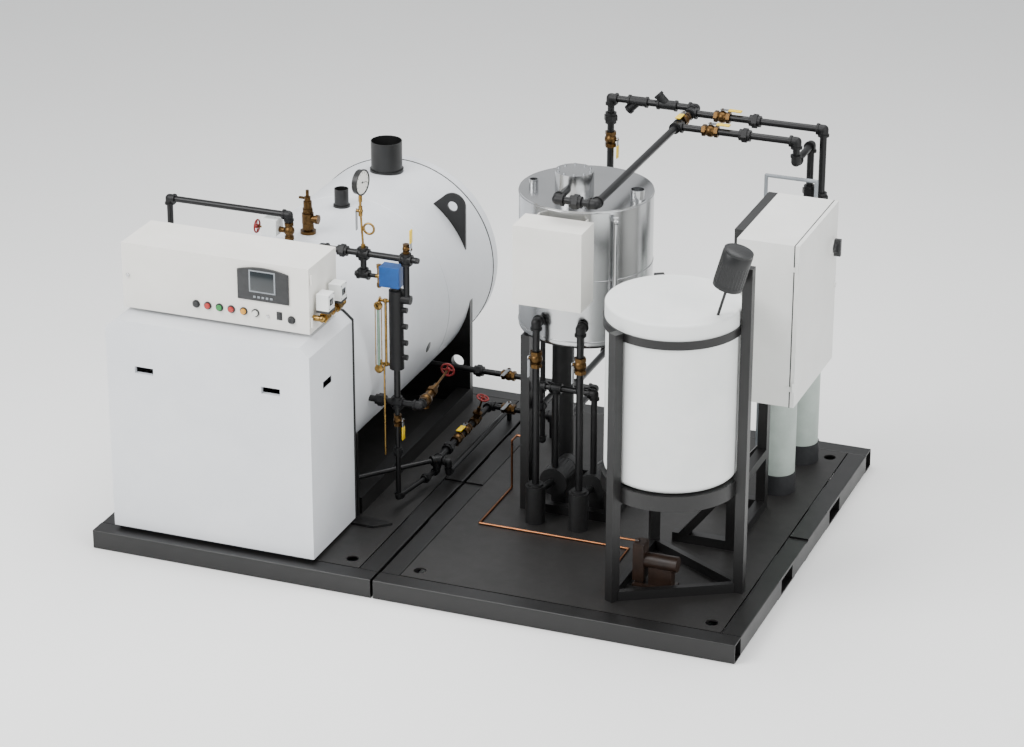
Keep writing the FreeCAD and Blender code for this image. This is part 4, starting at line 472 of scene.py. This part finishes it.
piece("rocker", *joined([slab(at(992, DOOR_FACE - 4, 1352), at(1022, DOOR_FACE, 1396), 0.002),
                         slab(at(997, DOOR_FACE - 9, 1357), at(1017, DOOR_FACE - 3, 1391), 0.003)]),
      black_plastic, "control_door", slot="control")
piece("selector_knob", *joined([turned([(0, 0), (0, 0.021), (0.003, 0.021), (0.004, 0.017), (0.017, 0.0145),
                                        (0.019, 0.012), (0.0195, 0)], at(1073, DOOR_FACE, 1362), FRONT, 60,
                                       flutes=15, depth=0.05),
                                slab(at(1070, DOOR_FACE - 21, 1350), at(1076, DOOR_FACE - 17, 1377), 0.001)]),
      black_plastic, "control_door", slot="control")

# %% [markdown]
# ## Gauge
#
# A pressure gauge is a steel case with a pressed bezel, a white card and a needle. The case and
# the bezel are one turned profile each, the ticks and the needle are thin slivers worked out
# from the angle of each mark, over three quarters of a turn.

# %% The pressure gauge
gauge_low, gauge_high = corner("pressure_gauge", False), corner("pressure_gauge", True)
gauge_centre = (gauge_low + gauge_high) / 2
GAUGE_TURN = math.radians(-6)
gauge_face = np.array([math.cos(GAUGE_TURN), math.sin(GAUGE_TURN), 0])
gauge_radius = (gauge_high[2] - gauge_low[2]) / 2
case_line = [(-0.017, 0), (-0.017, 0.82), (-0.013, 0.93), (0.011, 0.95), (0.011, 1.0), (0.017, 1.0),
             (0.019, 0.97), (0.018, 0.90), (0.013, 0.88), (0.0125, 0)]
case = piece("gauge_case", *turned([(h, r * gauge_radius) for h, r in case_line], gauge_centre, gauge_face, 72),
             black_coat_and_gap_shade, slot="gauge_face")
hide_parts("pressure_gauge")
piece("gauge_card", *turned([(0.012, 0), (0.012, 0.88 * gauge_radius), (0.0145, 0.88 * gauge_radius),
                             (0.0145, 0)], gauge_centre, gauge_face, 64), dial_white, slot="gauge_face")


def sliver(angle, inner, outer, width, lift):
    """A thin bar on the dial: corners at inner and outer radius, plus or minus half the width."""
    along = math.cos(angle) * np.array([0, 0, 1.0]) + math.sin(angle) * np.cross(gauge_face, [0, 0, 1.0])
    across = np.cross(gauge_face, along)
    base = gauge_centre + gauge_face * lift
    outline = [base + along * inner - across * width / 2, base + along * inner + across * width / 2,
               base + along * outer + across * width / 2, base + along * outer - across * width / 2]
    return plate(outline, gauge_face * 0.0008, 0.0002)


marks = [sliver(math.radians(-135 + 27 * k), 0.68 * gauge_radius, 0.82 * gauge_radius, 0.0022, 0.0144)
         for k in range(11)]
needle = [sliver(math.radians(-100), -0.016, 0.66 * gauge_radius, 0.0028, 0.0152),
          turned([(0.0144, 0), (0.0144, 0.006), (0.0168, 0.005), (0.0172, 0)], gauge_centre, gauge_face, 24)]
piece("gauge_marks", *joined(marks + needle), black_plastic, slot="gauge_face", smooth=False)

print("gauge radius mm", round(gauge_radius * 1000, 1), "marks", len(marks))

# %% [markdown]
# ## Valve actuators
#
# The fluid actuators over the gas train are white boxes on a black base, each with a small dark
# sight window on its outer side. Bands and windows stand a millimetre proud of the box.

# %% Bands, windows and screws on the actuators
bands, windows, screws = [], [], []
for low_y in (234.0, 384.0):
    bands.append(slab(at(1187.5, low_y - 1.5, 1402.5), at(1256.5, low_y + 73.5, 1416), 0.002))
    windows.append(slab(at(1254, low_y + 16, 1440), at(1256.5, low_y + 56, 1474), 0.001))
    screws += [turned(domed_disc(0.0035, 0.002), at(1255, low_y + y, z), [1, 0, 0], 20)
               for y in (8, 64) for z in (1426, 1492)]
piece("actuator_bases", *joined(bands), black_plastic, slot="black_trim")
piece("actuator_windows", *joined(windows), screen_black, slot="black_trim")
piece("actuator_screws", *joined(screws), zinc, slot="grey_lever")

print("actuator windows", len(windows), "screws", len(screws))

# %% [markdown]
# ## Lever grips
#
# Ball valve levers are flat steel dipped in yellow vinyl. The steel stays as it is; the grip is a
# rounded sleeve over the outer part of each lever, two millimetres thick all round, which leaves
# the bare plate near the stem showing.

# %% Yellow grips
pivots = {joint["child"]: np.array(joint["pos_m"]) for joint in frame["record"]["behaviour"]["joints"]}
yellow = ("column_drain_lever", "column_vent_lever", "feed_line_lever", "riser_lever", "link_lever",
          "upper_run_lever", "lower_run_lever")
body_of = {name: body for body, names in frame["record"]["behaviour"]["bodies"].items() for name in names}
for name in yellow:
    low, high = corner(name, False), corner(name, True)
    along = int(np.argmax(high - low))
    pivot = pivots[body_of[name]]
    outwards = 1 if high[along] - pivot[along] > pivot[along] - low[along] else -1
    reach = (high if outwards > 0 else low)[along] - pivot[along]
    grip_low, grip_high = low - 0.002, high + 0.002
    ends = sorted((pivot[along] + reach * 0.32, pivot[along] + reach + outwards * 0.001))
    grip_low[along], grip_high[along] = ends
    piece("grip_" + name, *slab(grip_low, grip_high, 0.003), yellow_vinyl, body_of[name], slot="yellow_lever")
    print(name, "grip", np.round((grip_high - grip_low) * 1000, 1))

# %% [markdown]
# ## Welds, seams and bolts
#
# Rolled tanks show a weld bead where each course meets the next, and jackets are drawn together
# by bands, with a dark seam at the rear head. Each is a thin ring carried round the vessel. Bolt
# heads are hexagons: a turned profile with only six steps.

# %% Rings round the vessels
def ring_path(centre, axis, radius, steps=96):
    """A circle: centre + radius * (cos t * side + sin t * other), t through a full turn."""
    axis, side, other = axes_about(axis)
    t = np.linspace(0, 2 * np.pi, steps, endpoint=False)[:, None]
    return np.asarray(centre) + radius * (np.cos(t) * side + np.sin(t) * other)


TANK = (2214.0, 1307.0, 0.343)
beads = [swept(ring_path(at(TANK[0], TANK[1], z), [0, 0, 1], TANK[2]), 0.003, 10, closed=True)
         for z in (1122, 1452, 1818)]
piece("tank_weld_beads", *joined(beads), stainless, slot="stainless")
DOME = (2203.0, 1158.0, 1974.0)
BOLT_CIRCLE = 84.0
dome_bolts = [turned(domed_disc(0.006, 0.007), at(DOME[0] + BOLT_CIRCLE * math.cos(a),
                                                  DOME[1] + BOLT_CIRCLE * math.sin(a), DOME[2]), [0, 0, 1], 6)
              for a in np.linspace(0, 2 * math.pi, 10, endpoint=False)]
piece("dome_bolts", *joined(dome_bolts), zinc, slot="stainless", smooth=False)
BOILER = (658.0, 807.0)
shell_bands = [swept(ring_path(at(BOILER[0], y, BOILER[1]), [0, 1, 0], 0.5605), 0.0035, 8, True, (0, 1.0, 0))
               for y in (1240, 1890)]
piece("jacket_bands", *joined(shell_bands), jacket_grey, slot="lagging")
rear_seam = swept(ring_path(at(BOILER[0], 2541.5, BOILER[1]), [0, 1, 0], 0.5620), 0.004, 8, True, (0, 1.0, 0))
piece("jacket_seam", *rear_seam, black_coat_and_gap_shade, slot="black_trim")

# %% Cabinet gasket and the plug in the shell
gasket_line = [at(3447, y, z) for y, z in ((858, 1000), (1539, 1000), (1539, 1849), (858, 1849))]
piece("cabinet_gasket", *swept(gasket_line, 0.0035, 8, True, (1.0, 0, 0)), black_coat_and_gap_shade, slot="black_trim")
plug = turned([(0, 0), (0, 0.030), (0.003, 0.030), (0.0045, 0.026), (0.005, 0)], at(1201, 1630, 671) - [0.001, 0, 0],
              [0.97, 0, -0.24], 40)
piece("shell_plug", *plug, black_plastic, slot="black_trim")

print("tank beads", len(beads), "dome bolts", len(dome_bolts), "jacket bands", len(shell_bands))

# %% [markdown]
# ## Gauge glass
#
# A sight glass stands between two bronze cocks with round bonnets, guarded by two thin rods. The
# glass is a straight tube and the bonnets are turned discs that face the operator.

# %% Glass, guards and bonnets
GLASS = (1276.0, 806.0)
bonnets = [turned([(0, 0), (0, 0.017), (0.004, 0.023), (0.016, 0.023), (0.020, 0.018), (0.021, 0)],
                  at(GLASS[0], GLASS[1], z), FRONT, 40) for z in (890, 1240)]
guards = [swept([at(GLASS[0] + x, GLASS[1] - 10, z) for z in (890, 1065, 1240)], 0.0028, 10, False, (0, 1.0, 0))
          for x in (-17, 17)]
piece("glass_bonnets", *joined(bonnets + guards), turned_brass, slot="brass")
piece("glass_tube", *swept([at(GLASS[0], GLASS[1] - 10, z) for z in (905, 1065, 1225)], 0.0075, 20, False,
                           (0, 1.0, 0)), gauge_glass, slot="stainless")

# %% [markdown]
# ## Motors
#
# Cast motor frames carry cooling fins along the barrel and a pressed cowl over the fan. A turned
# profile whose radius swings with the angle gives the fins, and a plain profile the cowl.

# %% Fins and cowls
def motor(name, foot, axis, length, radius, material, slot, flutes=28):
    """A finned barrel with a smooth end bell at its foot and a domed fan cowl at its far end."""
    axis = np.asarray(axis, float) / np.linalg.norm(axis)
    bell = turned([(0, 0), (0, radius * 0.90), (0.010, radius * 1.01), (0.022, radius * 1.01), (0.022, 0)],
                  foot, axis, 72)
    barrel = turned([(0.020, 0), (0.020, radius * 0.98), (length * 0.68, radius * 0.98), (length * 0.68, 0)],
                    foot, axis, flutes * 6, flutes=flutes, depth=0.035)
    cowl = turned([(length * 0.66, 0), (length * 0.66, radius * 1.015), (length * 0.93, radius * 1.015),
                   (length * 0.985, radius * 0.93), (length * 1.003, radius * 0.80), (length * 1.004, 0)],
                  foot, axis, 72)
    return piece(name, *joined([bell, barrel, cowl]), material, slot=slot)


tilt = math.radians(15.6)
lean = np.array([math.sin(tilt), 0, math.cos(tilt)])
motor("agitator_motor", at(3196, 448, 1611) + lean * 0.158, lean, 0.196, 0.0735,
      motor_enamel, "motor_blue")
for number, x in enumerate((2130, 2340)):
    motor("feed_motor_%d" % (number + 1), at(x, 1145, 270), [0, 1, 0], 0.180, 0.0585, cast_iron, "motor_grey", 22)

# %% [markdown]
# ## Camera, floor and light
#
# The camera looks down from the front right at about 23 degrees through a long lens, which keeps
# upright edges nearly parallel. A pale floor and three large soft lights keep the dark frame
# readable without hard shadows.

# %% Camera
camera_data = bpy.data.cameras.new("camera")
camera_data.lens = 116.51
camera_data.sensor_width = 36.0
camera = bpy.data.objects.new("camera", camera_data)
bpy.context.scene.collection.objects.link(camera)
forward = Vector((-0.33075, 0.85618, -0.39694)).normalized()
right = Vector((0.93252, 0.36112, 0.0019))
right = (right - forward * right.dot(forward)).normalized()
up = right.cross(forward)
turn = Matrix((right, up, -forward)).transposed()
camera.matrix_world = Matrix.Translation((5.816, -14.769, 7.629)) @ turn.to_4x4()
bpy.context.scene.camera = camera

# %% Floor and lights
floor_finish = finish("pale studio floor", "#fafaf9", 0.75, second="#f8f8f6",
                      patch_mm=2500, bump=0.0)
floor_points = np.array([[-30, -30, -0.001], [30, -30, -0.001], [30, 30, -0.001], [-30, 30, -0.001]], float)
floor_mesh = bpy.data.meshes.new("studio_floor")
floor_mesh.from_pydata(floor_points.tolist(), [], [[0, 1, 2, 3]])
floor_mesh.materials.append(floor_finish)
floor = bpy.data.objects.new("studio_floor", floor_mesh)
bpy.context.scene.collection.objects.link(floor)


def area_light(name, place, aim, size, power):
    """A square soft light at a place, turned so that its face looks at the aim point."""
    data = bpy.data.lights.new(name, "AREA")
    data.size = size
    data.energy = power
    light = bpy.data.objects.new(name, data)
    bpy.context.scene.collection.objects.link(light)
    light.location = place
    light.rotation_euler = (Vector(aim) - Vector(place)).to_track_quat("-Z", "Y").to_euler()


area_light("key_light", (-3.5, -5.5, 6.5), (0, 0, 0.8), 5.0, 760)
area_light("fill_light", (7.0, -3.5, 4.5), (0.4, 0, 0.8), 5.0, 330)
area_light("top_light", (0.5, 1.5, 7.5), (0, 0, 0.5), 6.0, 520)
world = bpy.data.worlds.new("studio")
bpy.context.scene.world = world
world.use_nodes = True
world.node_tree.nodes["Background"].inputs["Color"].default_value = linear("#f2f4f6")
world.node_tree.nodes["Background"].inputs["Strength"].default_value = 0.80
